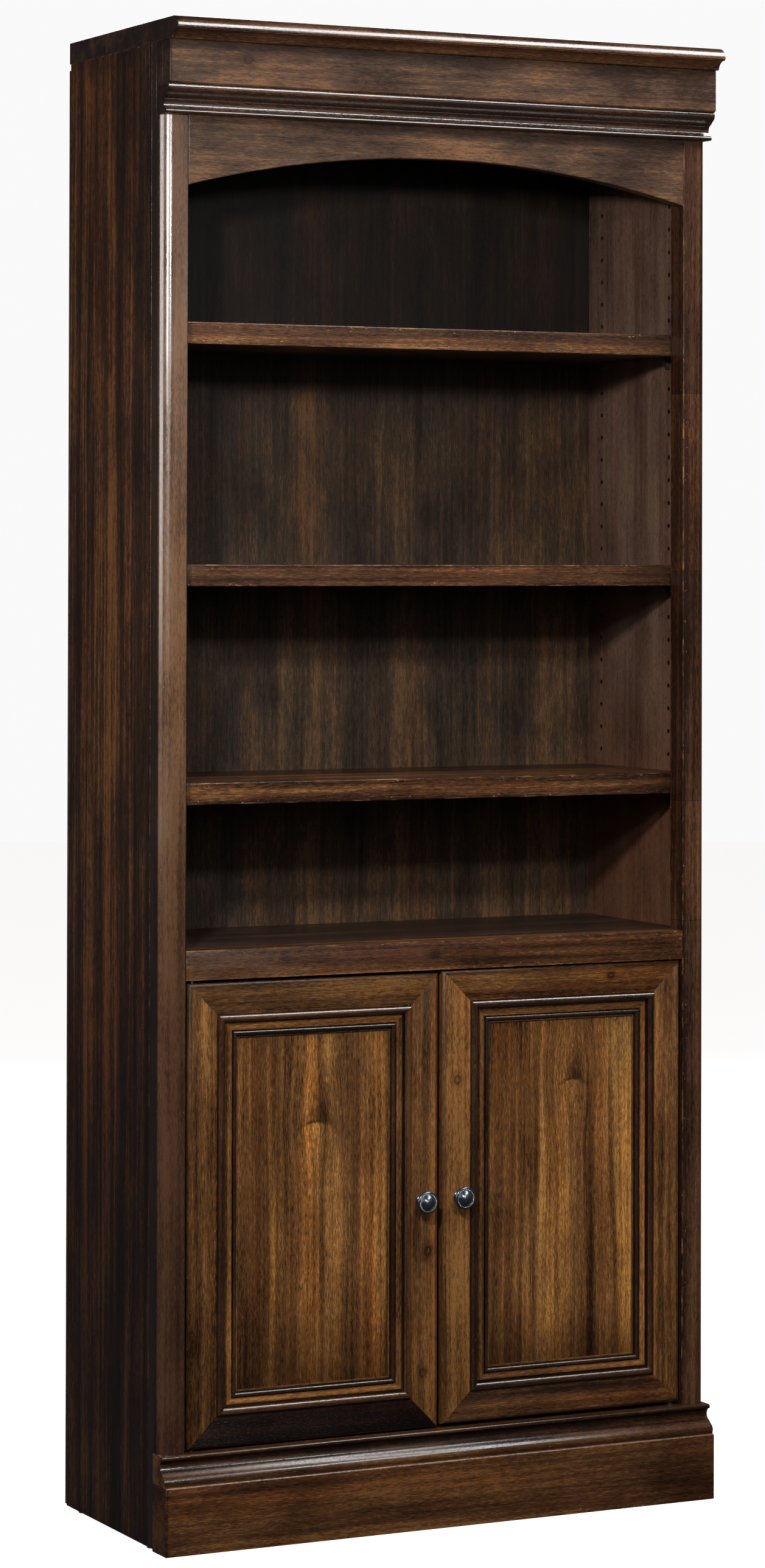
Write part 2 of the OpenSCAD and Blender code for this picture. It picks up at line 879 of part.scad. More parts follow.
module door_knob_screw() {
    color(METAL) translate([knob_x, door_t + knob_head_h, knob_z]) rotate([90, 0, 0]) {
        cylinder(r = knob_head_r, h = knob_head_h);
        cylinder(r = knob_screw_r, h = knob_head_h + door_t + knob_screw_grip);
    }
}

side_panel_left();
side_panel_right();
post_left();
post_right();
top_slab();
ceiling_panel();
top_stretcher();
frieze_board();
bed_moulding();
arch_rail();
mid_rail();
deck_panel();
cabinet_floor();
plinth_board();
base_cap();
back_panel();
plinth_glue_blocks();
case_dowels();
back_screws();
nail_glides();
supports_upper();
supports_middle();
supports_lower();
supports_cabinet();
shelf_upper_board();
shelf_upper_edging();
shelf_middle_board();
shelf_middle_edging();
shelf_lower_board();
shelf_lower_edging();
cabinet_shelf();
catch_housing();
catch_magnets();
pivots_left();
pivots_right();
pivot_washers();
pivot_screws();
place_left() door_member("outer", door_h);  // left_outer_stile
place_left() door_member("inner", door_h);  // left_inner_stile
place_left() door_member("top", door_w);  // left_top_rail
place_left() door_member("bottom", door_w);  // left_bottom_rail
place_left() door_panel();  // left_panel
place_left() door_trim();  // left_moulding
place_left() door_bushes();  // left_bushes
place_left() door_strike();  // left_strike
place_left() door_knob();  // left_knob
place_left() door_knob_screw();  // left_knob_screw
place_right() door_member("outer", door_h);  // right_outer_stile
place_right() door_member("inner", door_h);  // right_inner_stile
place_right() door_member("top", door_w);  // right_top_rail
place_right() door_member("bottom", door_w);  // right_bottom_rail
place_right() door_panel();  // right_panel
place_right() door_trim();  // right_moulding
place_right() door_bushes();  // right_bushes
place_right() door_strike();  // right_strike
place_right() door_knob();  // right_knob
place_right() door_knob_screw();  // right_knob_screw
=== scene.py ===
import math

import bpy
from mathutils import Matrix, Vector


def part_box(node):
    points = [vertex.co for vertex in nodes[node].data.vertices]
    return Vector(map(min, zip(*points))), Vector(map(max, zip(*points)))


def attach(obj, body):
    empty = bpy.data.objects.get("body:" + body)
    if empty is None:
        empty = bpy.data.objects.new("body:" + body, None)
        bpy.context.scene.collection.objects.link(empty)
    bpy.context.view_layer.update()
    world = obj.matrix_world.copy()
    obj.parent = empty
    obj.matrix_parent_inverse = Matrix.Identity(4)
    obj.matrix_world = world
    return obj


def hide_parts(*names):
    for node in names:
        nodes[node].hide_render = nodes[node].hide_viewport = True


# Open bookcase over a cupboard, in dark streaky stained wood with aged metal knobs.
# Lengths in the dictionaries are in millimetres, colours are linear.

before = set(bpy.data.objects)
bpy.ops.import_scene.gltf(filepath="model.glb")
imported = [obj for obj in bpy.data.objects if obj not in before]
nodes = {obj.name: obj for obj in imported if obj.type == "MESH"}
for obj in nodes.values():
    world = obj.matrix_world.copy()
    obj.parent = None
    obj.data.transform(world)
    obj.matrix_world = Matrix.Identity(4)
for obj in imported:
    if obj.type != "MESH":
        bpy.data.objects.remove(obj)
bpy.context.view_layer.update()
mm = 0.001
print("frame loaded,", len(nodes), "parts")

case = {
    "halfWidth": 412, "openHalf": 374.5, "height": 2000,
    "faceY": -158.5, "postY": -134, "blockY": -114.5, "innerY": -99.5, "rearY": 184.5,
    "plinthTop": 89.5, "capTop": 128, "railLow": 743, "deckTop": 782,
    "archEnds": 1784, "bedLow": 1875.5, "friezeLow": 1914, "slabLow": 1971,
}


# ---- modelling helpers ----

def clearSelection():
    if bpy.context.object and bpy.context.object.mode != "OBJECT":
        bpy.ops.object.mode_set(mode="OBJECT")
    bpy.ops.object.select_all(action="DESELECT")


def pickOnly(piece):
    clearSelection()
    piece.select_set(True)
    bpy.context.view_layer.objects.active = piece


def editAll():
    bpy.ops.object.mode_set(mode="EDIT")
    bpy.ops.mesh.select_all(action="SELECT")


def faceOutwards():
    bpy.ops.mesh.normals_make_consistent(inside=False)
    bpy.ops.object.mode_set(mode="OBJECT")


def settle(piece, smoothAngle=32):
    # leaves the piece at the origin with its place in its mesh
    pickOnly(piece)
    bpy.ops.object.transform_apply(location=True, rotation=True, scale=True)
    bpy.ops.object.shade_smooth_by_angle(angle=math.radians(smoothAngle))
    return piece


def easeEdges(piece, width, segments=2, angle=50):
    pickOnly(piece)
    bevel = piece.modifiers.new("ease", "BEVEL")
    bevel.width = width * mm
    bevel.segments = segments
    bevel.limit_method = "ANGLE"
    bevel.angle_limit = math.radians(angle)
    bevel.harden_normals = False
    bpy.ops.object.modifier_apply(modifier="ease")
    return piece


def addBoard(name, low, high, ease=1.0):
    clearSelection()
    size = [(b - a) * mm for a, b in zip(low, high)]
    middle = [(a + b) / 2 * mm for a, b in zip(low, high)]
    bpy.ops.mesh.primitive_cube_add(size=1, location=middle)
    board = bpy.context.object
    board.name = name
    board.data.name = name
    editAll()
    bpy.ops.transform.resize(value=size, center_override=middle)
    bpy.ops.object.mode_set(mode="OBJECT")
    settle(board)
    easeEdges(board, ease)
    return settle(board)


def arcPoints(centre, radius, start, end, steps=10):
    out = []
    for i in range(steps + 1):
        turn = math.radians(start + (end - start) * i / steps)
        out.append((centre[0] + radius * math.cos(turn), centre[1] + radius * math.sin(turn)))
    return out


def spotOn(axis, at, pair):
    a, b = pair
    return Vector({"x": (at, a, b), "y": (a, at, b), "z": (a, b, at)}[axis]) * mm


def drawLine(name, spots):
    # a new piece, left in edit mode, that is one line of edges through the spots
    clearSelection()
    bpy.ops.mesh.primitive_plane_add(size=0.01, location=spots[0])
    piece = bpy.context.object
    piece.name = name
    piece.data.name = name
    editAll()
    bpy.ops.mesh.merge(type="CENTER")
    for here, there in zip(spots, spots[1:]):
        bpy.ops.mesh.extrude_region_move(TRANSFORM_OT_translate={"value": there - here})
    bpy.ops.mesh.select_all(action="SELECT")
    return piece


def addOutline(name, axis, start, length, outline):
    # draws a closed outline across an axis, fills it and draws it out along that axis
    piece = drawLine(name, [spotOn(axis, start, pair) for pair in outline])
    bpy.ops.mesh.edge_face_add()
    along = Vector({"x": (1, 0, 0), "y": (0, 1, 0), "z": (0, 0, 1)}[axis]) * length * mm
    bpy.ops.mesh.extrude_region_move(TRANSFORM_OT_translate={"value": along})
    bpy.ops.mesh.select_all(action="SELECT")
    faceOutwards()
    return settle(piece)


def cutAway(piece, point, normal):
    # cuts off what lies beyond a plane, on the side that its normal points to
    pickOnly(piece)
    editAll()
    bpy.ops.mesh.bisect(plane_co=Vector(point) * mm, plane_no=normal, use_fill=True, clear_outer=True)
    bpy.ops.mesh.select_all(action="SELECT")
    faceOutwards()


def mirrorCopy(piece, name, axis, at):
    # a copy with its own mesh, turned over about a plane
    pickOnly(piece)
    bpy.ops.object.duplicate(linked=False)
    copy = bpy.context.object
    copy.name = name
    copy.data.name = name
    flags = [axis == "x", axis == "y", axis == "z"]
    centre = Vector([at * mm if f else 0 for f in flags])
    editAll()
    bpy.ops.transform.resize(value=[-1 if f else 1 for f in flags], center_override=centre)
    faceOutwards()
    return settle(copy)


def joinPieces(first, *others):
    clearSelection()
    for other in others:
        other.select_set(True)
    first.select_set(True)
    bpy.context.view_layer.objects.active = first
    bpy.ops.object.join()
    return settle(first)


def easedCopy(name, node, width=0.8, angle=50):
    # a copy of a CAD part with its holes and joinery, merged and with worn-off edges
    pickOnly(nodes[node])
    bpy.ops.object.duplicate(linked=False)
    copy = bpy.context.object
    copy.name = name
    copy.data.name = name
    for key in list(copy.keys()):
        del copy[key]
    copy.parent = None
    editAll()
    bpy.ops.mesh.remove_doubles(threshold=0.00001)
    bpy.ops.mesh.dissolve_limited(angle_limit=math.radians(1))
    bpy.ops.object.mode_set(mode="OBJECT")
    easeEdges(copy, width, angle=angle)
    return settle(copy)


def place(piece, body, node, slot):
    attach(piece, body)
    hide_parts(node)
    return piece


# ---- node helpers ----

def addNode(tree, kind, inputs=None, **settings):
    made = tree.nodes.new(kind)
    for key, value in settings.items():
        setattr(made, key, value)
    for key, value in (inputs or {}).items():
        if isinstance(value, bpy.types.NodeSocket):
            tree.links.new(value, made.inputs[key])
        else:
            made.inputs[key].default_value = value
    return made


def calc(tree, operation, *terms):
    return addNode(tree, "ShaderNodeMath", dict(enumerate(terms)), operation=operation).outputs[0]


def times(tree, a, b):
    return calc(tree, "MULTIPLY", a, b)


def plus(tree, a, b):
    return calc(tree, "ADD", a, b)


def minus(tree, a, b):
    return calc(tree, "SUBTRACT", a, b)


def absolute(tree, a):
    return calc(tree, "ABSOLUTE", a)


def splitUp(tree, vector):
    return addNode(tree, "ShaderNodeSeparateXYZ", {0: vector}).outputs


def vectorOf(tree, *values):
    return addNode(tree, "ShaderNodeCombineXYZ", dict(enumerate(values))).outputs[0]


def fit(tree, value, low, high, toLow=0.0, toHigh=1.0):
    made = addNode(tree, "ShaderNodeMapRange", {0: value, 1: low, 2: high, 3: toLow, 4: toHigh},
                   interpolation_type="SMOOTHSTEP")
    return made.outputs[0]


def fade(tree, value, low, high):
    return fit(tree, value, low, high, 1.0, 0.0)


def lengthOf(tree, a, b):
    return calc(tree, "SQRT", plus(tree, times(tree, a, a), times(tree, b, b)))


def stretch(tree, vector, scale):
    return addNode(tree, "ShaderNodeVectorMath", {0: vector, 1: scale}, operation="MULTIPLY").outputs[0]


def noise(tree, vector, detail=2.0, roughness=0.5):
    made = addNode(tree, "ShaderNodeTexNoise",
                   {"Vector": vector, "Scale": 1.0, "Detail": detail, "Roughness": roughness})
    return made.outputs[0]


def blend(tree, factor, a, b, kind="MIX"):
    made = addNode(tree, "ShaderNodeMix", {0: factor, 6: a, 7: b}, data_type="RGBA", blend_type=kind)
    return made.outputs[2]


def tinted(tree, factor, color, tint):
    return blend(tree, factor, color, (*tint, 1), "MULTIPLY")


def startMaterial(name):
    made = bpy.data.materials.new(name)
    made.use_nodes = True
    tree = made.node_tree
    return made, tree, tree.nodes["Principled BSDF"]


def setInput(shader, key, value):
    shader.inputs[key].default_value = value


def linkSurface(tree, shader, color, roughness, strength, distance, height):
    bump = addNode(tree, "ShaderNodeBump", {"Strength": strength, "Distance": distance, "Height": height})
    for value, key in ((color, "Base Color"), (roughness, "Roughness"), (bump.outputs[0], "Normal")):
        tree.links.new(value, shader.inputs[key])


def objectSpot(tree, centre, axes):
    # place on the piece from its middle, as (along the grain, across it, through the board)
    coords = addNode(tree, "ShaderNodeTexCoord").outputs["Object"]
    moved = addNode(tree, "ShaderNodeMapping",
                    {"Vector": coords, "Location": [-c * mm for c in centre]}).outputs[0]
    parts = splitUp(tree, moved)
    return vectorOf(tree, *[parts["xyz".index(a)] for a in axes])


# ---- stained wood ----

woodInputs = [
    ("Spot", "NodeSocketVector", (0, 0, 0)), ("Half", "NodeSocketVector", (1, 0.1, 0.01)),
    ("Seed", "NodeSocketFloat", 0.0), ("Band", "NodeSocketFloat", 26.0), ("Warp", "NodeSocketFloat", 0.012),
    ("Knot", "NodeSocketVector", (0, 0, 0)), ("KnotSize", "NodeSocketVector", (1, 1, 0)),
    ("Dark", "NodeSocketColor", (0, 0, 0, 1)), ("Mid", "NodeSocketColor", (0, 0, 0, 1)),
    ("Light", "NodeSocketColor", (0, 0, 0, 1)), ("Balance", "NodeSocketFloat", 0.0),
    ("Streaks", "NodeSocketFloat", 2.4), ("Mottle", "NodeSocketFloat", 1.0),
    ("EdgeGlazeAndShade", "NodeSocketFloat", 0.5), ("Wear", "NodeSocketFloat", 0.5),
]


def addScaled(tree, base, value, amount, middle=0.5):
    # base + (value - middle) * amount
    swing = times(tree, minus(tree, value, middle), amount)
    return plus(tree, base, swing)


def buildWoodGroup():
    tree = bpy.data.node_groups.new("stainedWood", "ShaderNodeTree")
    for name, kind, value in woodInputs:
        tree.interface.new_socket(name=name, in_out="INPUT", socket_type=kind).default_value = value
    for name, kind in (("Color", "NodeSocketColor"), ("Gloss", "NodeSocketFloat"), ("Height", "NodeSocketFloat")):
        tree.interface.new_socket(name=name, in_out="OUTPUT", socket_type=kind)
    given = addNode(tree, "NodeGroupInput").outputs
    seed = given["Seed"]
    offset = vectorOf(tree, *[times(tree, seed, factor) for factor in (1.73, 3.19, 5.41)])
    spot = addNode(tree, "ShaderNodeVectorMath", {0: given["Spot"], 1: offset}, operation="ADD").outputs[0]

    # the grain wanders sideways and bows out round a knot
    wander = minus(tree, noise(tree, stretch(tree, spot, (1.7, 5.5, 5.5)), 2), 0.5)
    wander = times(tree, wander, given["Warp"])
    raw = splitUp(tree, given["Spot"])
    knot = splitUp(tree, given["Knot"])
    size = splitUp(tree, given["KnotSize"])
    reach = calc(tree, "DIVIDE", minus(tree, raw[0], knot[0]), size[0])
    side = minus(tree, raw[1], knot[1])
    wide = calc(tree, "DIVIDE", side, size[1])
    ring = lengthOf(tree, reach, wide)
    bow = times(tree, fade(tree, ring, 0.0, 1.0), size[2])
    across = minus(tree, raw[1], times(tree, side, bow))
    across = plus(tree, across, wander)
    flow = vectorOf(tree, raw[0], across, raw[2])
    flow = addNode(tree, "ShaderNodeVectorMath", {0: flow, 1: offset}, operation="ADD").outputs[0]

    # broad bands, narrower streaks, fibres and pores
    band = vectorOf(tree, 0.75, given["Band"], given["Band"])
    broad = noise(tree, stretch(tree, flow, band), 5.0, 0.58)
    streak = noise(tree, stretch(tree, flow, (3.0, 150, 150)), 4.0, 0.66)
    fibre = noise(tree, stretch(tree, flow, (95, 820, 820)), 2.0, 0.7)
    blotch = noise(tree, stretch(tree, spot, (6.5, 17, 17)), 4.0, 0.62)
    dash = noise(tree, stretch(tree, flow, (210, 1300, 1300)), 1.0, 0.5)
    pores = fit(tree, dash, 0.57, 0.72)

    tone = plus(tree, given["Balance"], 0.5)
    tone = addScaled(tree, tone, broad, given["Streaks"])
    tone = addScaled(tree, tone, streak, 1.35)
    tone = addScaled(tree, tone, blotch, given["Mottle"])
    tone = addScaled(tree, tone, fibre, 1.7)

    # distance to the nearest edge of the board: the middle one of the three
    half = splitUp(tree, given["Half"])
    gaps = [minus(tree, half[i], absolute(tree, raw[i])) for i in range(3)]
    least = calc(tree, "MINIMUM", gaps[0], gaps[1])
    most = calc(tree, "MAXIMUM", gaps[0], gaps[1])
    edge = calc(tree, "MAXIMUM", least, calc(tree, "MINIMUM", most, gaps[2]))
    # darker near the board's edges: partly glaze, partly painted shade where the edges of recessed boards fall into
    # shade
    ragged = addScaled(tree, edge, blotch, 0.05)
    grime = times(tree, fade(tree, ragged, -0.005, 0.035), given["EdgeGlazeAndShade"])
    tone = minus(tree, tone, grime)

    lower = blend(tree, fit(tree, tone, -0.08, 0.5), given["Dark"], given["Mid"])
    color = blend(tree, fit(tree, tone, 0.42, 1.08), lower, given["Light"])
    warm = fit(tree, noise(tree, stretch(tree, spot, (2.0, 22, 22)), 2), 0.45, 0.75, 0.0, 0.5)
    color = tinted(tree, warm, color, (1.0, 0.66, 0.55))
    color = tinted(tree, times(tree, pores, 0.72), color, (0.16, 0.12, 0.1))

    # rubbed edges
    rub = times(tree, fade(tree, edge, 0.0003, 0.0022),
                fit(tree, noise(tree, stretch(tree, spot, (26, 90, 90)), 3, 0.7), 0.48, 0.68))
    rub = times(tree, rub, given["Wear"])
    color = blend(tree, rub, color, (0.24, 0.115, 0.045, 1))
    nick = fit(tree, noise(tree, stretch(tree, spot, (240, 420, 420)), 1), 0.72, 0.78)
    nick = times(tree, times(tree, nick, fade(tree, edge, 0.0, 0.012)), given["Wear"])
    color = blend(tree, nick, color, (0.36, 0.24, 0.16, 1))

    gloss = plus(tree, fit(tree, blotch, 0.3, 0.7, 0.25, 0.36), times(tree, pores, 0.18))
    height = minus(tree, plus(tree, times(tree, fibre, 0.5),
                              times(tree, streak, 0.35)), times(tree, pores, 0.7))
    height = plus(tree, height, times(tree, blotch, 0.5))
    addNode(tree, "NodeGroupOutput", {"Color": color, "Gloss": gloss, "Height": height})
    return tree


woodGroup = buildWoodGroup()

stains = {
    "header": {"dark": (0.018, 0.0090, 0.0055), "mid": (0.050, 0.0260, 0.0145), "light": (0.135, 0.064, 0.027)},
    "case": {"dark": (0.014, 0.0055, 0.0025), "mid": (0.058, 0.0225, 0.0080), "light": (0.170, 0.073, 0.0215)},
    "post": {"dark": (0.014, 0.0062, 0.0034), "mid": (0.056, 0.0255, 0.0120), "light": (0.128, 0.062, 0.027)},
    "door": {"dark": (0.018, 0.0075, 0.0030), "mid": (0.082, 0.0340, 0.0105), "light": (0.235, 0.104, 0.029)},
    "panel": {"dark": (0.026, 0.0110, 0.0040), "mid": (0.125, 0.0540, 0.0165), "light": (0.340, 0.166, 0.046)},
    "side": {"dark": (0.009, 0.0045, 0.0028), "mid": (0.027, 0.0115, 0.0055), "light": (0.125, 0.048, 0.0140)},
    "innerSide": {"dark": (0.026, 0.0140, 0.0095), "mid": (0.078, 0.0430, 0.0295), "light": (0.135, 0.080, 0.054)},
    "inner": {"dark": (0.022, 0.0120, 0.0080), "mid": (0.055, 0.0310, 0.0200), "light": (0.110, 0.060, 0.036)},
    "shelf": {"dark": (0.014, 0.0055, 0.0025), "mid": (0.062, 0.0250, 0.0095), "light": (0.200, 0.088, 0.029)},
    "back": {"dark": (0.012, 0.0080, 0.0052), "mid": (0.038, 0.0232, 0.0132), "light": (0.120, 0.0600, 0.0235)},
    "raw": {"dark": (0.28, 0.18, 0.10), "mid": (0.42, 0.29, 0.17), "light": (0.58, 0.43, 0.27)},
}


def woodFinish(name, low, high, axes, seed, stain="case", band=26.0, warp=0.012, streaks=2.4, mottle=1.0,
               balance=0.0, grime=0.25, wear=0.5, rough=0.0, shine=0.3, relief=0.35, knot=None, marks=()):
    made, tree, shader = startMaterial(name)
    centre = [(a + b) / 2 for a, b in zip(low, high)]
    order = ["xyz".index(a) for a in axes]
    half = [(high[k] - low[k]) / 2 * mm for k in order]
    spot = objectSpot(tree, centre, axes)
    group = addNode(tree, "ShaderNodeGroup", node_tree=woodGroup)
    values = {"Spot": spot, "Half": half, "Seed": seed, "Band": band, "Warp": warp, "Streaks": streaks,
              "Mottle": mottle, "Balance": balance, "EdgeGlazeAndShade": grime, "Wear": wear}
    values.update({key.capitalize(): (*value, 1) for key, value in stains[stain].items()})
    if knot:
        # (place, length and width of the bowed grain)
        values["Knot"] = [(knot[0][k] - centre[k]) * mm for k in order[:2]] + [0]
        values["KnotSize"] = (knot[1] * mm, knot[2] * mm, 0.45)
    for key, value in values.items():
        if isinstance(value, bpy.types.NodeSocket):
            tree.links.new(value, group.inputs[key])
        else:
            group.inputs[key].default_value = value
    color = group.outputs["Color"]
    parts = splitUp(tree, spot)
    for mark, *details in marks:
        color = mark(tree, parts, color, centre, order, *details)
    roughness = plus(tree, group.outputs["Gloss"], rough)
    linkSurface(tree, shader, color, roughness, relief, 0.0004, group.outputs["Height"])
    setInput(shader, "Specular IOR Level", shine)
    return made


def fromSpot(tree, parts, centre, order, place, length, width):
    # distances from a place on the board, along and across, in units of length and width
    v = calc(tree, "DIVIDE", minus(tree, parts[0], (place[order[0]] - centre[order[0]]) * mm), length * mm)
    u = calc(tree, "DIVIDE", minus(tree, parts[1], (place[order[1]] - centre[order[1]]) * mm), width * mm)
    return v, u


def flameKnot(tree, parts, color, centre, order, place, width, strength=1.0):
    # a knot's figure: a dark flame above an arched line, a bright tongue below it
    v, u = fromSpot(tree, parts, centre, order, place, width * 0.55, width * 0.5)
    rough = noise(tree, vectorOf(tree, times(tree, v, 1.2), times(tree, u, 9.0)), 4, 0.7)
    e = plus(tree, v, times(tree, times(tree, u, u), 0.34))
    e = addScaled(tree, e, rough, 0.4)
    wide = addScaled(tree, absolute(tree, u), rough, 1.4)
    right = addScaled(tree, absolute(tree, minus(tree, u, 0.35)), rough, 1.0)
    above = times(tree, fit(tree, e, -0.02, 0.12), fade(tree, e, 0.15, 2.6))
    above = times(tree, above, fade(tree, right, 0.1, 1.2))
    left = addScaled(tree, absolute(tree, plus(tree, u, 0.3)), rough, 1.2)
    below = times(tree, fade(tree, e, -0.3, 0.0), fit(tree, e, -3.4, -0.2))
    below = times(tree, below, fade(tree, left, 0.1, 1.0))
    line = times(tree, fade(tree, absolute(tree, e), 0.02, 0.14),
                 fade(tree, wide, 0.3, 1.15))
    color = tinted(tree, times(tree, above, 0.9 * strength), color, (0.17, 0.13, 0.12))
    color = tinted(tree, times(tree, below, 0.45 * strength), color, (1.8, 1.75, 1.5))
    return blend(tree, times(tree, line, 0.8 * strength), color, (0.012, 0.005, 0.003, 1))


gold, deep = (1.75, 1.66, 1.32), (0.46, 0.40, 0.37)


def grainBands(tree, parts, color, centre, order, bands):
    # long golden or dark streaks: place across, half width, strength, tint, and where each starts and ends
    rough = noise(tree, vectorOf(tree, times(tree, parts[0], 4.0), times(tree, parts[1], 160)), 4, 0.7)
    for middle, reach, strength, tint, start, end in bands:
        away = minus(tree, parts[1], (middle - centre[order[1]]) * mm)
        away = addScaled(tree, absolute(tree, away), rough, reach * 1.6 * mm)
        band = fit(tree, away, reach * 0.1 * mm, reach * 1.5 * mm, strength, 0.0)
        first, last = [(a - centre[order[0]]) * mm for a in (start, end)]
        band = times(tree, band, fit(tree, parts[0], first - 0.03, first + 0.05))
        band = times(tree, band, fade(tree, parts[0], last - 0.05, last + 0.03))
        color = tinted(tree, band, color, tint)
    return color


def smallKnot(tree, parts, color, centre, order, place, length, width, strength=1.0):
    # a round knot: a dark ring round a reddish eye
    v, u = fromSpot(tree, parts, centre, order, place, length, width)
    rough = noise(tree, vectorOf(tree, times(tree, v, 1.7), times(tree, u, 1.7)), 3, 0.6)
    ring = lengthOf(tree, v, u)
    ring = addScaled(tree, ring, rough, 0.7)
    halo = fit(tree, ring, 0.5, 2.2, 0.75 * strength, 0.0)
    color = tinted(tree, halo, color, (0.34, 0.24, 0.21))
    rim = fit(tree, absolute(tree, minus(tree, ring, 0.62)), 0.06, 0.28, 0.8 * strength, 0.0)
    return blend(tree, rim, color, (0.012, 0.005, 0.003, 1))


def jointLines(tree, parts, color, centre, order, places, width, tints):
    # end joints across the grain, and the change of colour past each one
    for place, tint in zip(places, tints):
        off = minus(tree, parts[0], (place - centre[order[0]]) * mm)
        color = tinted(tree, fit(tree, off, -0.0002, 0.0002), color, tint)
        line = fit(tree, absolute(tree, off), 0.0, width * mm, 0.7, 0.0)
        color = tinted(tree, line, color, (0.2, 0.16, 0.14))
    return color


def seamLines(tree, parts, color, centre, order, places, width=0.5, strength=0.6):
    # glued joints between the staves of a panel
    for place in places:
        off = absolute(tree, minus(tree, parts[1], (place - centre[order[1]]) * mm))
        line = fit(tree, off, 0.0, width * mm, strength, 0.0)
        color = tinted(tree, line, color, (0.2, 0.16, 0.14))
    return color


def stainAndShadeRange(tree, parts, color, centre, order, axis, start, end, tint, deepest=None):
    # the colour deepens or lightens from one height, or width, to another, as far back as the deepest y: used for
    # painted shade, for painted light and for darker stain
    line = parts[order.index(axis)]
    turn = fit(tree, line, (start - centre[axis]) * mm, (end - centre[axis]) * mm)
    if deepest is not None:
        limit = (deepest - centre[1]) * mm
        turn = times(tree, turn, fade(tree, parts[order.index(1)], limit - 0.001, limit))
    return tinted(tree, turn, color, tint)


def darkGroovesAndPaintedBands(tree, parts, color, centre, order, start, sign, grooves, bands):
    # dark lines in a moulding's grooves, partly glaze and partly painted shade, and bands painted lighter or
    # darker, by distance from one edge
    away = times(tree, minus(tree, parts[1], (start - centre[order[1]]) * mm), sign)
    for middle, width, strength, tint in bands:
        band = fit(tree, absolute(tree, minus(tree, away, middle * mm)),
                   width * 0.7 * mm, width * 1.2 * mm, strength, 0.0)
        color = tinted(tree, band, color, tint)
    for middle, width, strength in grooves:
        line = fit(tree, absolute(tree, minus(tree, away, middle * mm)),
                   width * 0.35 * mm, width * mm, strength, 0.0)
        color = tinted(tree, line, color, (0.10, 0.08, 0.07))
    return color


def holeRows(tree, parts, color, centre, order, columns, first, pitch, radius, inside):
    # painted shade in the mouths of the shelf support holes, drilled in rows up the board
    innerFace = fit(tree, times(tree, parts[2], inside), 0.001, 0.003)
    rise = calc(tree, "PINGPONG", minus(tree, parts[0], (first - centre[order[0]]) * mm), pitch / 2 * mm)
    for column in columns:
        off = minus(tree, parts[1], (column - centre[order[1]]) * mm)
        ring = lengthOf(tree, rise, off)
        mouth = fit(tree, ring, radius * mm, (radius + 1.2) * mm, 0.97, 0.0)
        mouth = times(tree, mouth, fit(tree, parts[0], (first - 18 - centre[order[0]]) * mm,
                                       (first - 14 - centre[order[0]]) * mm))
        mouth = times(tree, mouth, innerFace)
        color = blend(tree, mouth, color, (0.004, 0.003, 0.002, 1))
    return color


def finishWith(piece, material):
    piece.data.materials.clear()
    piece.data.materials.append(material)
    return piece


def finishNode(name, material):
    holder = nodes[name]
    if not holder.material_slots:
        holder.data.materials.append(material)
    for materialSlot in holder.material_slots:
        materialSlot.material = material


print("helpers and wood ready")

# ---- top, frieze, mouldings and arched rail ----

topShape = {"noseOut": 26, "noseRadius": 16, "step": 1.5, "coveRadius": 14, "coveX": 4.4, "coveLip": 1.4,
            "thickness": 29, "boardChamfer": 2}


def slabOutline():
    t = topShape
    nose = (case["faceY"] - t["noseOut"] + t["noseRadius"], case["slabLow"] + t["thickness"] - t["noseRadius"])
    lip = case["slabLow"] + t["thickness"] - t["noseRadius"]
    out = [(case["rearY"], case["slabLow"] + t["thickness"])]
    out += arcPoints(nose, t["noseRadius"], 90, 180, 16)
    cove = (case["faceY"] - t["noseOut"] + t["coveX"], lip - t["coveLip"] - t["coveRadius"])
    front = case["faceY"] - t["noseOut"] + t["step"]
    out.append((front, lip))
    top = math.degrees(math.acos((front - cove[0]) / t["coveRadius"]))
    low = math.degrees(math.asin((case["slabLow"] - cove[1]) / t["coveRadius"]))
    out += arcPoints(cove, t["coveRadius"], top, low, 14)
    out.append((case["rearY"], case["slabLow"]))
    return out


def acrossBox(front, rear, low, high, half=case["halfWidth"]):
    # two corners of the box of a part that runs across the case
    return (-half, front, low), (half, rear, high)


def casePiece(piece, node, wood, box, axes, seed, stain, **settings):
    finishWith(piece, woodFinish(wood, *box, axes, seed, stain, **settings))
    place(piece, "root", node, "case_wood")


h = case["halfWidth"]
topSlab = addOutline("topSlab", "x", -h, 2 * h, slabOutline())
easeEdges(topSlab, 0.8)
settle(topSlab)
# its left end is painted darker: painted shade
casePiece(topSlab, "top_slab", "topSlabWood",
          acrossBox(-case["rearY"], case["rearY"], case["slabLow"], case["height"]), "xyz", 3.1, "case",
          band=30, grime=0.0, wear=0.25, balance=-0.4, rough=-0.12, shine=0.8, relief=0.1,
          marks=[(stainAndShadeRange, 0, -405, -411, (0.42, 0.38, 0.36))])


def frontBoard(name, low, high, chamferTop):
    # a board across the front with two short returns beside the posts
    c = topShape["boardChamfer"]
    face, post = case["faceY"], case["postY"]
    if chamferTop:
        outline = [(post, low), (face, low), (face, high - c), (face + c, high), (post, high)]
    else:
        outline = [(post, high), (face, high), (face, low + c), (face + c, low), (post, low)]
    board = addOutline(name, "x", -h, 2 * h, outline)
    ends = []
    for side in (-1, 1):
        x = sorted((side * h, side * case["openHalf"]))
        ends.append(addBoard(name + "End", (x[0], post, low), (x[1], case["blockY"], high), 0.3))
    easeEdges(board, 0.7, angle=40)
    return joinPieces(board, *ends)


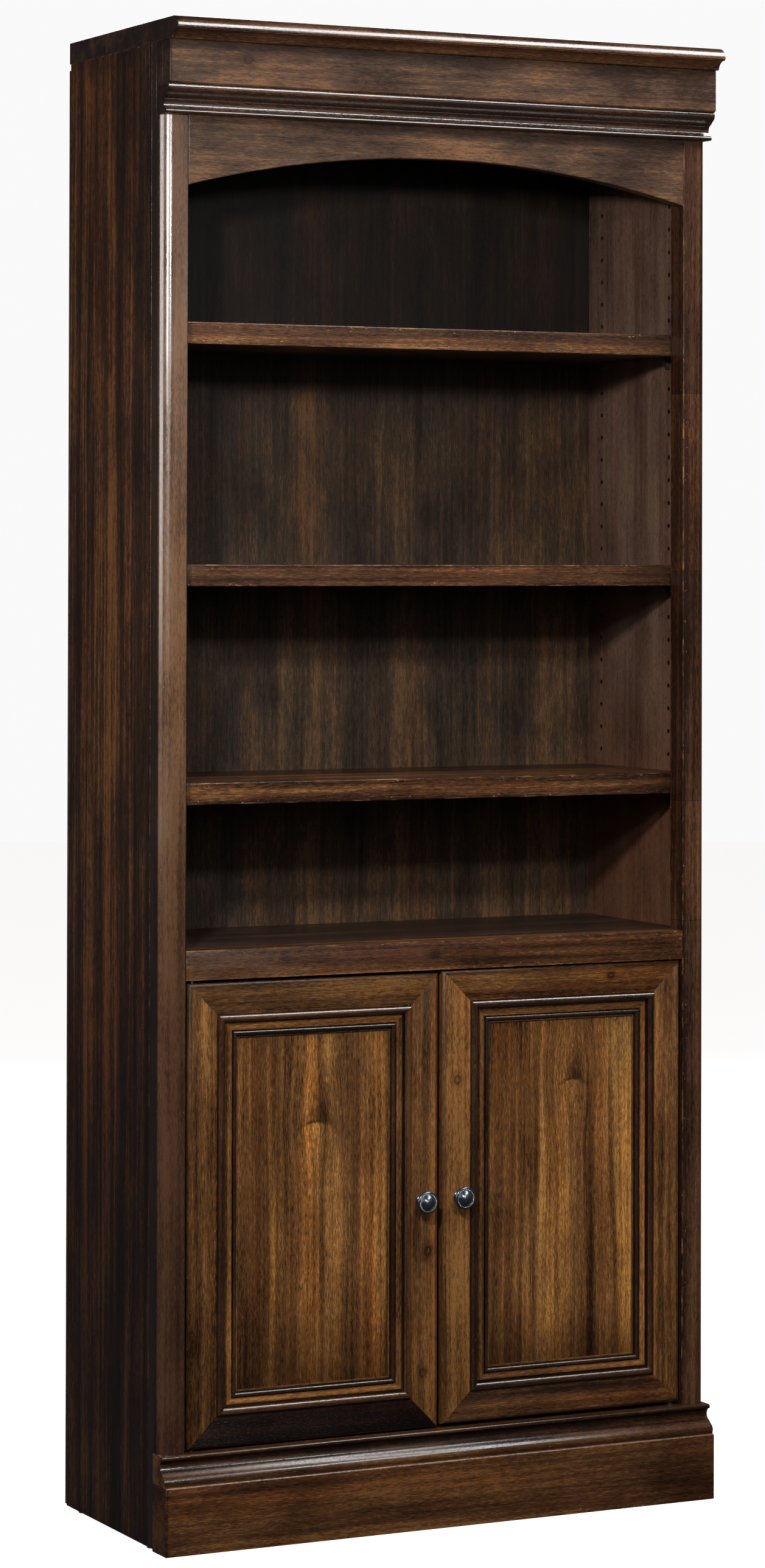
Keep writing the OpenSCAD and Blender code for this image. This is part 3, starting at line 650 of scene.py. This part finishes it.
friezeBoard = frontBoard("friezeBoard", case["friezeLow"], case["slabLow"], False)
# painted shadow under the top along the upper edge, painted shade at the left end and towards the left, painted
# light towards the right
casePiece(friezeBoard, "frieze_board", "friezeWood",
          acrossBox(case["faceY"], case["blockY"], case["friezeLow"], case["slabLow"]), "xzy", 7.7, "header",
          band=14, streaks=0.9, mottle=2.6, grime=0.0, wear=0.3, rough=0.04, shine=0.24,
          marks=[(smallKnot, (-299, -158.5, 1949), 9, 7, 0.7),
                 (stainAndShadeRange, 2, 1952, 1970, (0.45, 0.42, 0.42)),
                 (stainAndShadeRange, 0, -407, -411, (0.35, 0.32, 0.3)),
                 (stainAndShadeRange, 0, -150, -360, (0.86, 0.86, 0.86)),
                 (stainAndShadeRange, 0, 0, 260, (1.4, 1.4, 1.38))])

plinthBoard = frontBoard("plinthBoard", 0, case["plinthTop"], True)
# painted shade towards the right and at the left end
casePiece(plinthBoard, "plinth_board", "plinthWood",
          acrossBox(case["faceY"], case["blockY"], 0, case["plinthTop"]), "xzy", 12.3, "case",
          band=16, streaks=1.6, mottle=1.3, balance=0.04, grime=0.0, wear=0.9,
          marks=[(stainAndShadeRange, 0, 180, 400, (0.66, 0.6, 0.6)),
                 (stainAndShadeRange, 0, -407, -411, (0.35, 0.32, 0.3))])

moulding = {"height": 38.5, "ovoloSetback": 3.3, "ovoloRadius": 7.4, "throat": 20, "coveRadius": 8.7,
            "beadRadius": 3, "beadSetback": 11.6}


def mouldingOutline(depth, foot, flip):
    m = moulding
    ovolo = (m["ovoloSetback"] + m["ovoloRadius"], 5)
    cove = (m["throat"] - m["coveRadius"], 25)
    bead = (m["beadSetback"] + m["beadRadius"], m["height"] - m["beadRadius"])
    ovoloEnd = arcPoints(ovolo, m["ovoloRadius"], 125, 125, 1)[0]
    coveStart = arcPoints(cove, m["coveRadius"], -55, -55, 1)[0]
    ridge = ((ovoloEnd[0] + coveStart[0]) / 2, (ovoloEnd[1] + coveStart[1]) / 2)
    ledge = (bead[0] + 2, bead[1] - m["beadRadius"] - 0.6)
    pairs = [(depth, 0), (m["ovoloSetback"] + 1, 0)]
    pairs += arcPoints(ovolo, m["ovoloRadius"], 210, 125, 12)
    pairs += [ridge, (ridge[0] + 0.3, ridge[1] + 0.9)]
    pairs += arcPoints(cove, m["coveRadius"], -50, 20, 12)
    pairs += [ledge, (ledge[0] - 1, ledge[1] + 0.2)]
    pairs += arcPoints(bead, m["beadRadius"], 235, 90, 12)
    pairs.append((depth, m["height"]))
    if flip:
        return [(case["faceY"] + d, foot - z) for d, z in pairs]
    return [(case["faceY"] + d, foot + z) for d, z in pairs]


post = case["postY"] - case["faceY"]
bedMoulding = addOutline("bedMoulding", "x", -h, 2 * h, mouldingOutline(post, case["friezeLow"], True))
bedEnds = [addBoard("bedEnd", (x, case["postY"], case["bedLow"]),
                    (x + h - case["openHalf"], case["blockY"], case["friezeLow"]), 0.3)
           for x in (-h, case["openHalf"])]
joinPieces(bedMoulding, *bedEnds)
# painted shade at the left end
casePiece(bedMoulding, "bed_moulding", "bedMouldingWood",
          acrossBox(case["faceY"], case["blockY"], case["bedLow"], case["friezeLow"]), "xzy", 15.9, "case",
          streaks=1.4, balance=-0.6, grime=0.0, wear=0.4, rough=-0.14, shine=0.95, relief=0.1,
          marks=[(stainAndShadeRange, 0, -407, -411, (0.35, 0.32, 0.3))])

baseCap = easedCopy("baseCap", "base_cap", 0.25, angle=60)
casePiece(baseCap, "base_cap", "baseCapWood",
          acrossBox(case["faceY"], case["innerY"], case["plinthTop"], case["capTop"]), "xyz", 19.4, "case",
          balance=-0.1, grime=0.05, wear=0.8, rough=-0.06, shine=0.5, relief=0.15)

arch = {"rise": 48.5, "thickness": 20}


def archOutline():
    half, rise = case["openHalf"], arch["rise"]
    radius = (half * half + rise * rise) / (2 * rise)
    centre = (0, case["archEnds"] + rise - radius)
    reach = math.degrees(math.asin(half / radius))
    out = [(half, case["slabLow"]), (-half, case["slabLow"])]
    return out + arcPoints(centre, radius, 90 + reach, 90 - reach, 48)


archRail = addOutline("archRail", "y", case["postY"], arch["thickness"], archOutline())
easeEdges(archRail, 1.3, 3)
settle(archRail)
archBox = acrossBox(case["postY"], case["postY"] + arch["thickness"], case["archEnds"], case["slabLow"],
                    case["openHalf"])
# painted shadow under the bed moulding along the top, painted shade towards the left
casePiece(archRail, "arch_rail", "archRailWood", archBox, "xzy", 23.2, "header",
          band=12, streaks=0.8, mottle=2.4, grime=0.0, wear=0.2, rough=0.04, shine=0.24,
          marks=[(stainAndShadeRange, 2, 1855, 1874, (0.5, 0.47, 0.47)),
                 (stainAndShadeRange, 0, -100, -360, (0.82, 0.82, 0.82))])
print("top, frieze, mouldings and arch ready")

# ---- posts, sides and inner panels ----

postShape = {"width": 37.5, "foot": 3, "round": 16, "seam": 1}


def postOutline():
    p, x = postShape, -case["halfWidth"]
    r = p["round"]
    inner = case["innerY"]
    out = [(x + p["width"], inner), (x + p["seam"], inner), (x, inner - p["seam"]), (x, case["postY"] + r)]
    out += arcPoints((x + r, case["postY"] + r), r, 180, 270, 16)[1:]
    out += [(x + p["width"], case["postY"])]
    return out


postLeft = addOutline("postLeft", "z", case["capTop"], case["bedLow"] - case["capTop"], postOutline())
easeEdges(postLeft, 0.7, 2, 60)
blocks = []
for low, high in ((postShape["foot"], case["capTop"]), (case["bedLow"], case["slabLow"])):
    blocks.append(addBoard("postBlock", (-h, case["blockY"], low),
                           (-h + postShape["width"], case["innerY"] - 0.02, high), 0.3))
joinPieces(postLeft, *blocks)
postRight = mirrorCopy(postLeft, "postRight", "x", 0)
postLow, postHigh = (case["postY"], postShape["foot"]), (case["innerY"], case["slabLow"])
# darker towards the bottom, painted shade below the sheen on the upper face; darker towards the top; dark seam
# lines
casePiece(postLeft, "post_left", "postLeftWood", ((-h, *postLow), (-case["openHalf"], *postHigh)), "zxy", 31.0,
          "post", band=44, streaks=1.6, balance=0.2, grime=0.0, wear=0.8, rough=-0.1, shine=0.9, relief=0.05,
          marks=[(stainAndShadeRange, 2, 1250, 500, (0.5, 0.42, 0.38)),
                 (stainAndShadeRange, 2, 1500, 1850, (0.66, 0.62, 0.60)),
                 (darkGroovesAndPaintedBands, -374.5, -1, [(0.0, 2.4, 0.97), (37.2, 1.3, 0.9)], [])])
casePiece(postRight, "post_right", "postRightWood", ((case["openHalf"], *postLow), (h, *postHigh)), "zxy", 35.6,
          "post", band=44, streaks=2.4, balance=-0.2, grime=0.0, wear=1.0,
          marks=[(jointLines, (796, 961, 1279, 1525), 0.9,
                  ((1.3, 1.2, 1.1), (0.72, 0.7, 0.7), (1.4, 1.3, 1.15), (0.62, 0.6, 0.62)))])

midRail = easedCopy("midRail", "mid_rail", 1.2)
railBox = acrossBox(case["postY"], case["innerY"], case["railLow"], case["deckTop"], case["openHalf"])
casePiece(midRail, "mid_rail", "midRailWood", railBox, "xzy", 41.3, "case",
          band=34, balance=0.05, grime=0.0, wear=0.6,
          marks=[(smallKnot, (-229.8, -134, 766.7), 8, 5, 0.8),
                 (smallKnot, (-10.4, -134, 763.9), 7, 5, 1.0),
                 (smallKnot, (335, -134, 762), 9, 4, 0.5)])

# the back's front face: painted shadow growing towards the top, under the arch and shelves, and painted shadow of
# the left post towards the left
backMarks = [(seamLines, [-262, -118, 31, 176, 305], 0.8, 0.5),
             (stainAndShadeRange, 2, 1500, 1640, (0.22, 0.20, 0.19), 182),
             (stainAndShadeRange, 2, 1150, 1400, (0.76, 0.72, 0.66), 182),
             (stainAndShadeRange, 0, -60, -250, (0.62, 0.68, 0.76), 182),
             (smallKnot, (135, 179.5, 1357), 16, 11, 0.9), (smallKnot, (-103, 179.5, 1105), 15, 8, 0.7),
             (smallKnot, (78, 179.5, 892), 9, 6, 0.6)]
# (places of the two columns, lowest hole, spacing, radius)
supportHoles = ((-50.5, 141.5), 958, 32, 2.6)
sideMarks = [(stainAndShadeRange, 2, 1000, 380, (0.42, 0.40, 0.45)), (stainAndShadeRange, 2, 1500, 1800, (0.72, 0.66, 0.58)),
             (smallKnot, (-412, 40, 1560), 22, 9, 0.8), (smallKnot, (-412, -30, 1080), 14, 7, 0.7),
             (smallKnot, (-412, 95, 690), 18, 8, 0.6), (holeRows, *supportHoles, 1)]
holeMarks = [(holeRows, *supportHoles, -1), (stainAndShadeRange, 2, 1250, 900, (0.95, 0.72, 0.58))]
keptBoards = {
    # node: (low, high, grain order, seed, stain, more settings)
    "side_panel_left": ((-412, -99.5, 3), (-400, 179.5, 1971), "zyx", 51.2, "side",
                        {"band": 34, "streaks": 3.2, "marks": sideMarks, "grime": 0.2, "shine": 0.22,
                         "rough": -0.03}),
    "side_panel_right": ((400, -99.5, 3), (412, 179.5, 1971), "zyx", 55.8, "innerSide",
                         {"band": 18, "streaks": 1.6, "balance": 0.2, "mottle": 1.6, "marks": holeMarks}),
    "ceiling_panel": ((-400, -99.5, 1953), (400, 179.5, 1971), "xyz", 61.1, "inner", {"balance": -0.1}),
    "top_stretcher": ((-374.5, -114, 1935), (374.5, -99.5, 1971), "xzy", 64.0, "inner", {"balance": -0.1}),
    "deck_panel": ((-400, -99.5, 764), (400, 179.5, 782), "xyz", 67.3, "inner", {"balance": -0.5}),
    "cabinet_floor": ((-400, -99.5, 110), (400, 179.5, 128), "xyz", 71.9, "inner", {}),
    "cabinet_shelf": ((-399, -83.5, 396), (399, 178, 414), "xyz", 75.2, "inner", {}),
    "back_panel": ((-412, 179.5, 5), (412, 184.5, 1962), "zxy", 81.7, "back",
                   {"band": 13, "streaks": 1.7, "mottle": 1.5, "marks": backMarks, "rough": 0.22, "shine": 0.2}),
}
for name, (low, high, axes, seed, stain, more) in keptBoards.items():
    settings = {"grime": 0.1, "wear": 0.4, "rough": 0.05, **more}
    finishNode(name, woodFinish(name + "Wood", low, high, axes, seed, stain, **settings))
for name, seed in (("plinth_glue_blocks", 85.0), ("case_dowels", 88.0)):
    low, high = [[c / mm for c in corner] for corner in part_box(name)]
    finishNode(name, woodFinish(name + "Wood", low, high, "xzy", seed, "raw", grime=0.0, wear=0.0, rough=0.3))
print("posts, sides and inner panels ready")

# ---- shelves ----

shelf = {"half": 399, "front": -98, "edging": 18, "back": 178, "thickness": 29, "ease": 1.6,
         "tops": {"upper": 1607, "middle": 1287, "lower": 999}, "edgingBalance": (-0.02, -0.12, -0.22)}
for i, (level, top) in enumerate(shelf["tops"].items()):
    low, high = top - shelf["thickness"], top
    seam = shelf["front"] + shelf["edging"]
    boardLow, boardHigh = (-shelf["half"], seam, low), (shelf["half"], shelf["back"], high)
    edgeLow, edgeHigh = (-shelf["half"], shelf["front"], low), (shelf["half"], seam, high)
    board = addBoard(level + "ShelfBoard", boardLow, boardHigh, 0.4)
    edging = addBoard(level + "ShelfEdging", edgeLow, edgeHigh, shelf["ease"])
    finishWith(board, woodFinish(level + "ShelfWood", boardLow, boardHigh, "xyz", 91.0 + 4.7 * i, "shelf",
                                 band=20, balance=-0.2, grime=0.1))
    finishWith(edging, woodFinish(level + "EdgingWood", edgeLow, edgeHigh, "xzy", 111.0 + 5.3 * i, "shelf",
                                  band=34, balance=shelf["edgingBalance"][i], grime=0.0, wear=1.0,
                                  marks=[(stainAndShadeRange, 0, 250, 390, (0.5, 0.48, 0.46))]))
    place(board, "shelf_" + level, f"shelf_{level}_board", "shelf_wood")
    place(edging, "shelf_" + level, f"shelf_{level}_edging", "shelf_wood")
print("shelves ready")

# ---- doors ----

doors = {
    "left": {"x": (-371, -3.25), "z": (130, 738.5), "seed": 130.0, "flame": (-182.6, -126, 548.8),
             "flameWidth": 50, "seams": [-246, -122],
             "panelBalance": -0.05, "stileBalance": 0.2, "footBalance": -0.35,
             "bands": [(-185, 120, 0.55, deep, 60, 310), (-193, 13, 0.75, gold, 180, 720),
                       (-151, 9, 0.6, gold, 180, 510), (-93, 15, 0.6, gold, 180, 690),
                       (-243.7, 3.5, 0.7, gold, 200, 480), (-262, 34, 0.75, deep, 230, 700),
                       (-127, 9, 0.6, deep, 380, 640), (-172, 5, 0.5, deep, 180, 500)],
             "marks": {"inner_stile": [(smallKnot, (-19, -133, 367), 9, 7, 0.9),
                                       (smallKnot, (-26, -133, 205), 8, 7, 0.7)],
                       "outer_stile": [(smallKnot, (-362, -133, 264), 14, 6, 0.9)],
                       "bottom_rail": [(stainAndShadeRange, 2, 300, 175, (0.13, 0.09, 0.07))],
                       "top_rail": [(stainAndShadeRange, 2, 660, 700, (0.78, 0.82, 0.95))]}},
    "right": {"x": (3.25, 371), "z": (132.5, 741), "seed": 160.0, "flame": (205, -126, 586),
              "flameWidth": 36, "seams": [154, 262],
              "panelBalance": 0.05, "stileBalance": 0.3, "footBalance": -0.25,
              "bands": [(180, 22, 0.6, gold, 180, 540), (288, 10, 0.85, gold, 180, 600),
                        (233, 5, 0.8, deep, 180, 600),
                        (112, 36, 0.5, (0.66, 0.50, 0.44), 180, 720), (149, 4, 0.8, deep, 420, 660),
                        (101, 9, 0.75, deep, 560, 680), (236, 15, 0.7, deep, 200, 270)],
              "marks": {"inner_stile": [(smallKnot, (25.5, -133, 594), 8, 7, 0.7)],
                        "bottom_rail": [(stainAndShadeRange, 2, 260, 178, (0.76, 0.74, 0.76))],
                        "top_rail": [(smallKnot, (262, -133, 725), 7, 5, 1.0)]}},
}
door = {"face": -133, "back": -112, "stile": 42, "trim": 31, "panelInset": 7,
        "outerBead": 4.8, "innerBead": 2.7, "trimFace": -139, "panelFace": -126, "panelBack": -120,
        "knobInset": 25, "knobMiddle": -149}


def trimOutline():
    # (y, distance from the frame) of the panel moulding
    d = door
    outer, inner = 2 * d["outerBead"], d["trim"] - 3.3
    pairs = [(d["panelInset"], 0)] + arcPoints((-0.5, d["outerBead"]), d["outerBead"], 270, 90, 16)
    pairs += [(2, outer), (2, outer + 2), (-0.2, outer + 4), (0.6, inner - 2 * d["innerBead"] - 1),
              (2, inner - 2 * d["innerBead"])]
    pairs += arcPoints((1.8, inner - d["innerBead"]), d["innerBead"], 270, 90, 12)
    pairs += [(4.5, inner), (4.5, d["trim"]), (d["panelInset"], d["trim"])]
    return [(d["face"] + depth, away) for depth, away in pairs]


def addTrim(name, x0, x1, z0, z1):
    # four mitred lengths round the panel
    outline = trimOutline()
    foot = addOutline(name, "x", x0, x1 - x0, [(y, z0 + away) for y, away in outline])
    cutAway(foot, (x0, 0, z0), (-1, 0, 1))
    cutAway(foot, (x1, 0, z0), (1, 0, 1))
    head = mirrorCopy(foot, name + "Head", "z", (z0 + z1) / 2)
    jamb = addOutline(name + "Jamb", "z", z0, z1 - z0, [(x0 + away, y) for y, away in outline])
    cutAway(jamb, (x0, 0, z0), (1, 0, -1))
    cutAway(jamb, (x0, 0, z1), (1, 0, 1))
    jambTwo = mirrorCopy(jamb, name + "JambTwo", "x", (x0 + x1) / 2)
    return foot, head, jamb, jambTwo


knob = {
    "profile": [(0, 0), (8.6, 0), (9.0, 0.8), (8.6, 2.0), (7.0, 3.2), (5.9, 5.2), (5.6, 7.6), (6.4, 10.2),
                (8.8, 12.6), (11.8, 14.0), (13.8, 14.9), (14.9, 16.0), (15.2, 17.2), (15.0, 18.4), (14.4, 19.4),
                (13.6, 19.9), (13.0, 19.8), (12.6, 19.2), (12.1, 18.9), (11.4, 18.9), (10.9, 19.2), (10.5, 19.9),
                (9.9, 20.5), (9.1, 21.4), (7.9, 22.7), (6.4, 24.0), (4.6, 25.1), (2.4, 25.8), (0, 26)],
    "steps": 72, "beads": 46, "beadRadius": 0.62, "beadRing": 11.8, "beadHeight": 19.5,
}


def addKnob(name, x, z):
    y = door["face"]
    turned = drawLine(name, [Vector((x + r, y - out, z)) * mm for r, out in knob["profile"]])
    bpy.ops.mesh.spin(steps=knob["steps"], angle=2 * math.pi, center=Vector((x, y, z)) * mm, axis=(0, 1, 0))
    bpy.ops.mesh.select_all(action="SELECT")
    bpy.ops.mesh.remove_doubles(threshold=0.00002)
    faceOutwards()
    settle(turned, 50)
    beads = []
    for i in range(knob["beads"]):
        turn = 2 * math.pi * i / knob["beads"]
        spot = Vector((x + knob["beadRing"] * math.cos(turn), y - knob["beadHeight"],
                       z + knob["beadRing"] * math.sin(turn))) * mm
        clearSelection()
        bpy.ops.mesh.primitive_ico_sphere_add(subdivisions=2, radius=knob["beadRadius"] * mm, location=spot)
        beads.append(bpy.context.object)
    joinPieces(turned, *beads)
    return settle(turned, 50)


def pewterFinish(name, centre):
    made, tree, shader = startMaterial(name)
    spot = objectSpot(tree, centre, "xzy")
    cloud = noise(tree, stretch(tree, spot, (160, 160, 160)), 3, 0.6)
    grain = noise(tree, stretch(tree, spot, (2200, 2200, 2200)), 2, 0.6)
    color = blend(tree, fit(tree, cloud, 0.35, 0.7), (0.075, 0.085, 0.098, 1), (0.12, 0.132, 0.148, 1))
    # the bead ring is rubbed bright, the groove round it is black
    parts = splitUp(tree, spot)
    ring = lengthOf(tree, parts[0], parts[1])
    away = absolute(tree, minus(tree, ring, knob["beadRing"] * mm))
    inGroove = fade(tree, away, 0.0007, 0.0011)
    proud = fit(tree, parts[2], -0.0032, -0.0035)
    color = blend(tree, inGroove, color, (0.012, 0.012, 0.014, 1))
    bright = times(tree, inGroove, proud)
    color = blend(tree, bright, color, (0.62, 0.62, 0.66, 1))
    linkSurface(tree, shader, color, fit(tree, cloud, 0.3, 0.7, 0.22, 0.27), 0.05, 0.0001, grain)
    setInput(shader, "Metallic", 0.9)
    return made


for name, spec in doors.items():
    body = "door_" + name
    (x0, x1), (z0, z1) = spec["x"], spec["z"]
    seed, w = spec["seed"], door["stile"]
    face, back = door["face"], door["back"]
    outerX, innerX = ((x0, x0 + w), (x1 - w, x1)) if name == "left" else ((x1 - w, x1), (x0, x0 + w))
    members = {
        "outer_stile": ((outerX[0], face, z0), (outerX[1], back, z1), "zxy", 0.14),
        "inner_stile": ((innerX[0], face, z0), (innerX[1], back, z1), "zxy", spec["stileBalance"]),
        "top_rail": ((x0, face, z1 - w), (x1, back, z1), "xzy", -0.05),
        "bottom_rail": ((x0, face, z0), (x1, back, z0 + w), "xzy", spec["footBalance"]),
    }
    # a golden line beside the panel moulding, partly rubbed wear and partly painted highlight, and darker towards
    # the outer edge
    sides = [(x0 + w, -1), (x1 - w, 1)] if name == "left" else [(x1 - w, 1), (x0 + w, -1)]
    inner = {"outer_stile": sides[0], "inner_stile": sides[1], "top_rail": (z1 - w, 1), "bottom_rail": (z0 + w, -1)}
    innerEdge = ([(0.0, 0.9, 0.9)], [(4.0, 3.2, 0.6, (1.7, 1.6, 1.3)), (39.5, 3.0, 0.6, (0.5, 0.45, 0.45))])
    for i, (part, (low, high, axes, balance)) in enumerate(members.items()):
        member = easedCopy(name + part.title().replace("_", ""), f"{name}_{part}", 0.5)
        finishWith(member, woodFinish(member.name + "Wood", low, high, axes, seed + 3.3 * i, "door", band=36,
                                      balance=balance, grime=0.1, wear=0.4,
                                      marks=[*spec["marks"].get(part, []),
                                             (darkGroovesAndPaintedBands, *inner[part], *innerEdge)]))
        place(member, body, f"{name}_{part}", "door_wood")
    inset, trimWidth, trimFront, trimRear = (door[k] for k in ("panelInset", "trim", "trimFace", "panelFace"))
    panelLow = (x0 + w - inset, door["panelFace"], z0 + w - inset)
    panelHigh = (x1 - w + inset, door["panelBack"], z1 - w + inset)
    flame = spec["flame"]
    panelMarks = [(grainBands, spec["bands"]), (flameKnot, flame, spec["flameWidth"]),
                  (seamLines, spec["seams"], 0.6, 0.45),
                  (stainAndShadeRange, 2, z0 + 170, z0 + 60, (0.42, 0.38, 0.36))]
    finishNode(f"{name}_panel", woodFinish(name + "PanelWood", panelLow, panelHigh, "zxy", seed + 17, "panel",
                                           band=32, balance=spec["panelBalance"], grime=0.75, wear=0.0,
                                           knot=(flame, 110, 60), marks=panelMarks))
    trims = addTrim(name + "Trim", x0 + w, x1 - w, z0 + w, z1 - w)
    spans = [((x0 + w, trimFront, z0 + w), (x1 - w, trimRear, z0 + w + trimWidth), "xzy"),
             ((x0 + w, trimFront, z1 - w - trimWidth), (x1 - w, trimRear, z1 - w), "xzy"),
             ((x0 + w, trimFront, z0 + w), (x0 + w + trimWidth, trimRear, z1 - w), "zxy"),
             ((x1 - w - trimWidth, trimFront, z0 + w), (x1 - w, trimRear, z1 - w), "zxy")]
    edges = [(z0 + w, 1), (z1 - w, -1), (x0 + w, 1), (x1 - w, -1)]
    # grooves darkened, partly glaze and partly painted shade; the flat band painted light, and the beads painted
    # darker, partly stain tone and partly painted shade
    grooveShadeAndBands = ([(0.2, 1.1, 0.95), (10.4, 1.7, 0.97), (22.0, 1.1, 0.95), (28.4, 1.5, 0.95)],
             [(4.8, 4.4, 0.95, (0.34, 0.28, 0.29)), (17.2, 3.2, 0.9, (1.75, 1.65, 1.35)),
              (25.0, 2.8, 0.95, (0.22, 0.20, 0.20))])
    for i, (trim, (low, high, axes)) in enumerate(zip(trims, spans)):
        finishWith(trim, woodFinish(f"{name}TrimWood{i}", low, high, axes, seed + 21 + 2.9 * i, "door", band=60,
                                    balance=-0.05, grime=0.0, wear=0.6, rough=-0.1, shine=0.8, relief=0.2,
                                    marks=[(darkGroovesAndPaintedBands, *edges[i], *grooveShadeAndBands)]))
    moulded = joinPieces(*trims)
    place(moulded, body, f"{name}_moulding", "door_wood")
    knobX = x1 - door["knobInset"] if name == "left" else x0 + door["knobInset"]
    knobZ = (z0 + z1) / 2
    turned = addKnob(name + "Knob", knobX, knobZ)
    finishWith(turned, pewterFinish(name + "Pewter", (knobX, door["knobMiddle"], knobZ)))
    place(turned, body, f"{name}_knob", "pewter")
print("doors ready")

# ---- small hardware ----

metals = {
    "zinc": {"color": (0.55, 0.54, 0.51), "worn": (0.36, 0.35, 0.33), "metallic": 1.0, "rough": (0.28, 0.48)},
    "darkSteel": {"color": (0.060, 0.050, 0.042), "worn": (0.11, 0.09, 0.075), "metallic": 0.8,
                  "rough": (0.4, 0.6)},
    "blackPlastic": {"color": (0.018, 0.018, 0.019), "worn": (0.035, 0.034, 0.033), "metallic": 0.0,
                     "rough": (0.4, 0.6)},
}


def hardwareFinish(name):
    spec = metals[name]
    made, tree, shader = startMaterial(name)
    coords = addNode(tree, "ShaderNodeTexCoord").outputs["Object"]
    cloud = noise(tree, stretch(tree, coords, (90, 90, 90)), 4, 0.65)
    fine = noise(tree, stretch(tree, coords, (1500, 1500, 1500)), 2, 0.6)
    color = blend(tree, fit(tree, cloud, 0.35, 0.65), (*spec["worn"], 1), (*spec["color"], 1))
    linkSurface(tree, shader, color, fit(tree, cloud, 0.3, 0.7, *spec["rough"]), 0.15, 0.0002, fine)
    setInput(shader, "Metallic", spec["metallic"])
    return made


hardware = {
    "zinc": ["back_screws", "pivots_left", "pivots_right", "pivot_screws", "left_strike", "right_strike",
             "left_knob_screw", "right_knob_screw"],
    "darkSteel": ["supports_upper", "supports_middle", "supports_lower", "supports_cabinet",
                  "nail_glides", "catch_magnets"],
    "blackPlastic": ["catch_housing", "pivot_washers", "left_bushes", "right_bushes"],
}
for finish, members in hardware.items():
    material = hardwareFinish(finish)
    for member in members:
        finishNode(member, material)
print("hardware ready")

# ---- stage, lights and camera ----

stage = {"floor": 14.0, "dome": 30.0, "floorColor": (0.40, 0.395, 0.39), "floorGlow": 2.3,
         "backColor": (0.95, 0.95, 0.95)}


def hideFrom(piece, *rays):
    for ray in rays:
        setattr(piece, ray, False)


clearSelection()
bpy.ops.mesh.primitive_circle_add(vertices=96, radius=stage["floor"], fill_type="NGON", location=(0, 0, 0))
floor = bpy.context.object
floor.name = "floor"
made, tree, shader = startMaterial("paleFloor")
coords = addNode(tree, "ShaderNodeTexCoord").outputs["Object"]
speckle = noise(tree, stretch(tree, coords, (3, 3, 3)), 3)
tone = blend(tree, fit(tree, speckle, 0.3, 0.7), (*[c * 0.985 for c in stage["floorColor"]], 1),
             (*stage["floorColor"], 1))
tree.links.new(tone, shader.inputs["Base Color"])
setInput(shader, "Roughness", 0.7)
setInput(shader, "Emission Color", (*stage["floorColor"], 1))
setInput(shader, "Emission Strength", stage["floorGlow"])
finishWith(floor, made)
hideFrom(floor, "visible_diffuse", "visible_glossy")

clearSelection()
bpy.ops.mesh.primitive_uv_sphere_add(segments=48, ring_count=24, radius=stage["dome"])
dome = bpy.context.object
dome.name = "paleRoom"
made, tree, shader = startMaterial("paleRoom")
setInput(shader, "Base Color", (0, 0, 0, 1))
setInput(shader, "Specular IOR Level", 0.0)
setInput(shader, "Emission Color", (*stage["backColor"], 1))
setInput(shader, "Emission Strength", 1.0)
finishWith(dome, made)
hideFrom(dome, "visible_diffuse", "visible_glossy", "visible_transmission", "visible_shadow")

world = bpy.data.worlds.new("studio")
bpy.context.scene.world = world
world.use_nodes = True
world.node_tree.nodes["Background"].inputs[0].default_value = (0.9, 0.93, 1.0, 1)
world.node_tree.nodes["Background"].inputs[1].default_value = 0.05

lights = {
    # name: (azimuth left of front, distance, height, width, tall, watts, aim)
    "keyLeft": (38, 2.15, 1.90, 0.12, 0.12, 37, (0, 0, 1.0)),
    "keyMiddle": (11, 2.5, 1.95, 0.14, 0.14, 20, (0, 0, 0.9)),
    "rightSoft": (-24, 3.2, 2.1, 1.3, 1.3, 3, (0, 0, 1.6)),
    "frontSoft": (19, 5.2, 2.2, 1.5, 1.7, 24, (0, 0, 1.2)),
    "leftSoft": (88, 4.0, 2.1, 2.6, 1.8, 95, (-0.4, 0, 1.4)),
    "topSoft": (-50, 1.6, 3.3, 3.0, 0.8, 105, (0.2, -0.1, 1.97)),
    "backSoft": (-160, 4.5, 2.6, 2.4, 1.8, 90, (0, 0, 1.1)),
}
for name, (azimuth, distance, height, width, tall, watts, aim) in lights.items():
    turn = math.radians(azimuth)
    spot = Vector((-math.sin(turn) * distance, -math.cos(turn) * distance, height))
    clearSelection()
    bpy.ops.object.light_add(type="AREA", location=spot)
    lamp = bpy.context.object
    lamp.name = name
    lamp.data.shape = "RECTANGLE"
    lamp.data.size = width
    lamp.data.size_y = tall
    lamp.data.energy = watts
    lamp.rotation_euler = (Vector(aim) - spot).to_track_quat("-Z", "Y").to_euler()

view = {"place": (-2.689, -5.3655, 1.298), "pitch": 90.66, "roll": -0.133, "turn": -26.42, "lens": 100.37,
        "rise": -0.1772}
clearSelection()
bpy.ops.object.camera_add(location=view["place"],
                          rotation=[math.radians(view[k]) for k in ("pitch", "roll", "turn")])
camera = bpy.context.object
camera.name = "camera"
camera.data.lens = view["lens"]
camera.data.sensor_width = 36
camera.data.sensor_fit = "AUTO"
camera.data.shift_y = view["rise"]
camera.data.clip_end = 100
camera.data.dof.use_dof = False
bpy.context.scene.camera = camera
bpy.context.scene.view_settings.view_transform = "Standard"
clearSelection()
print("stage, lights and camera ready")
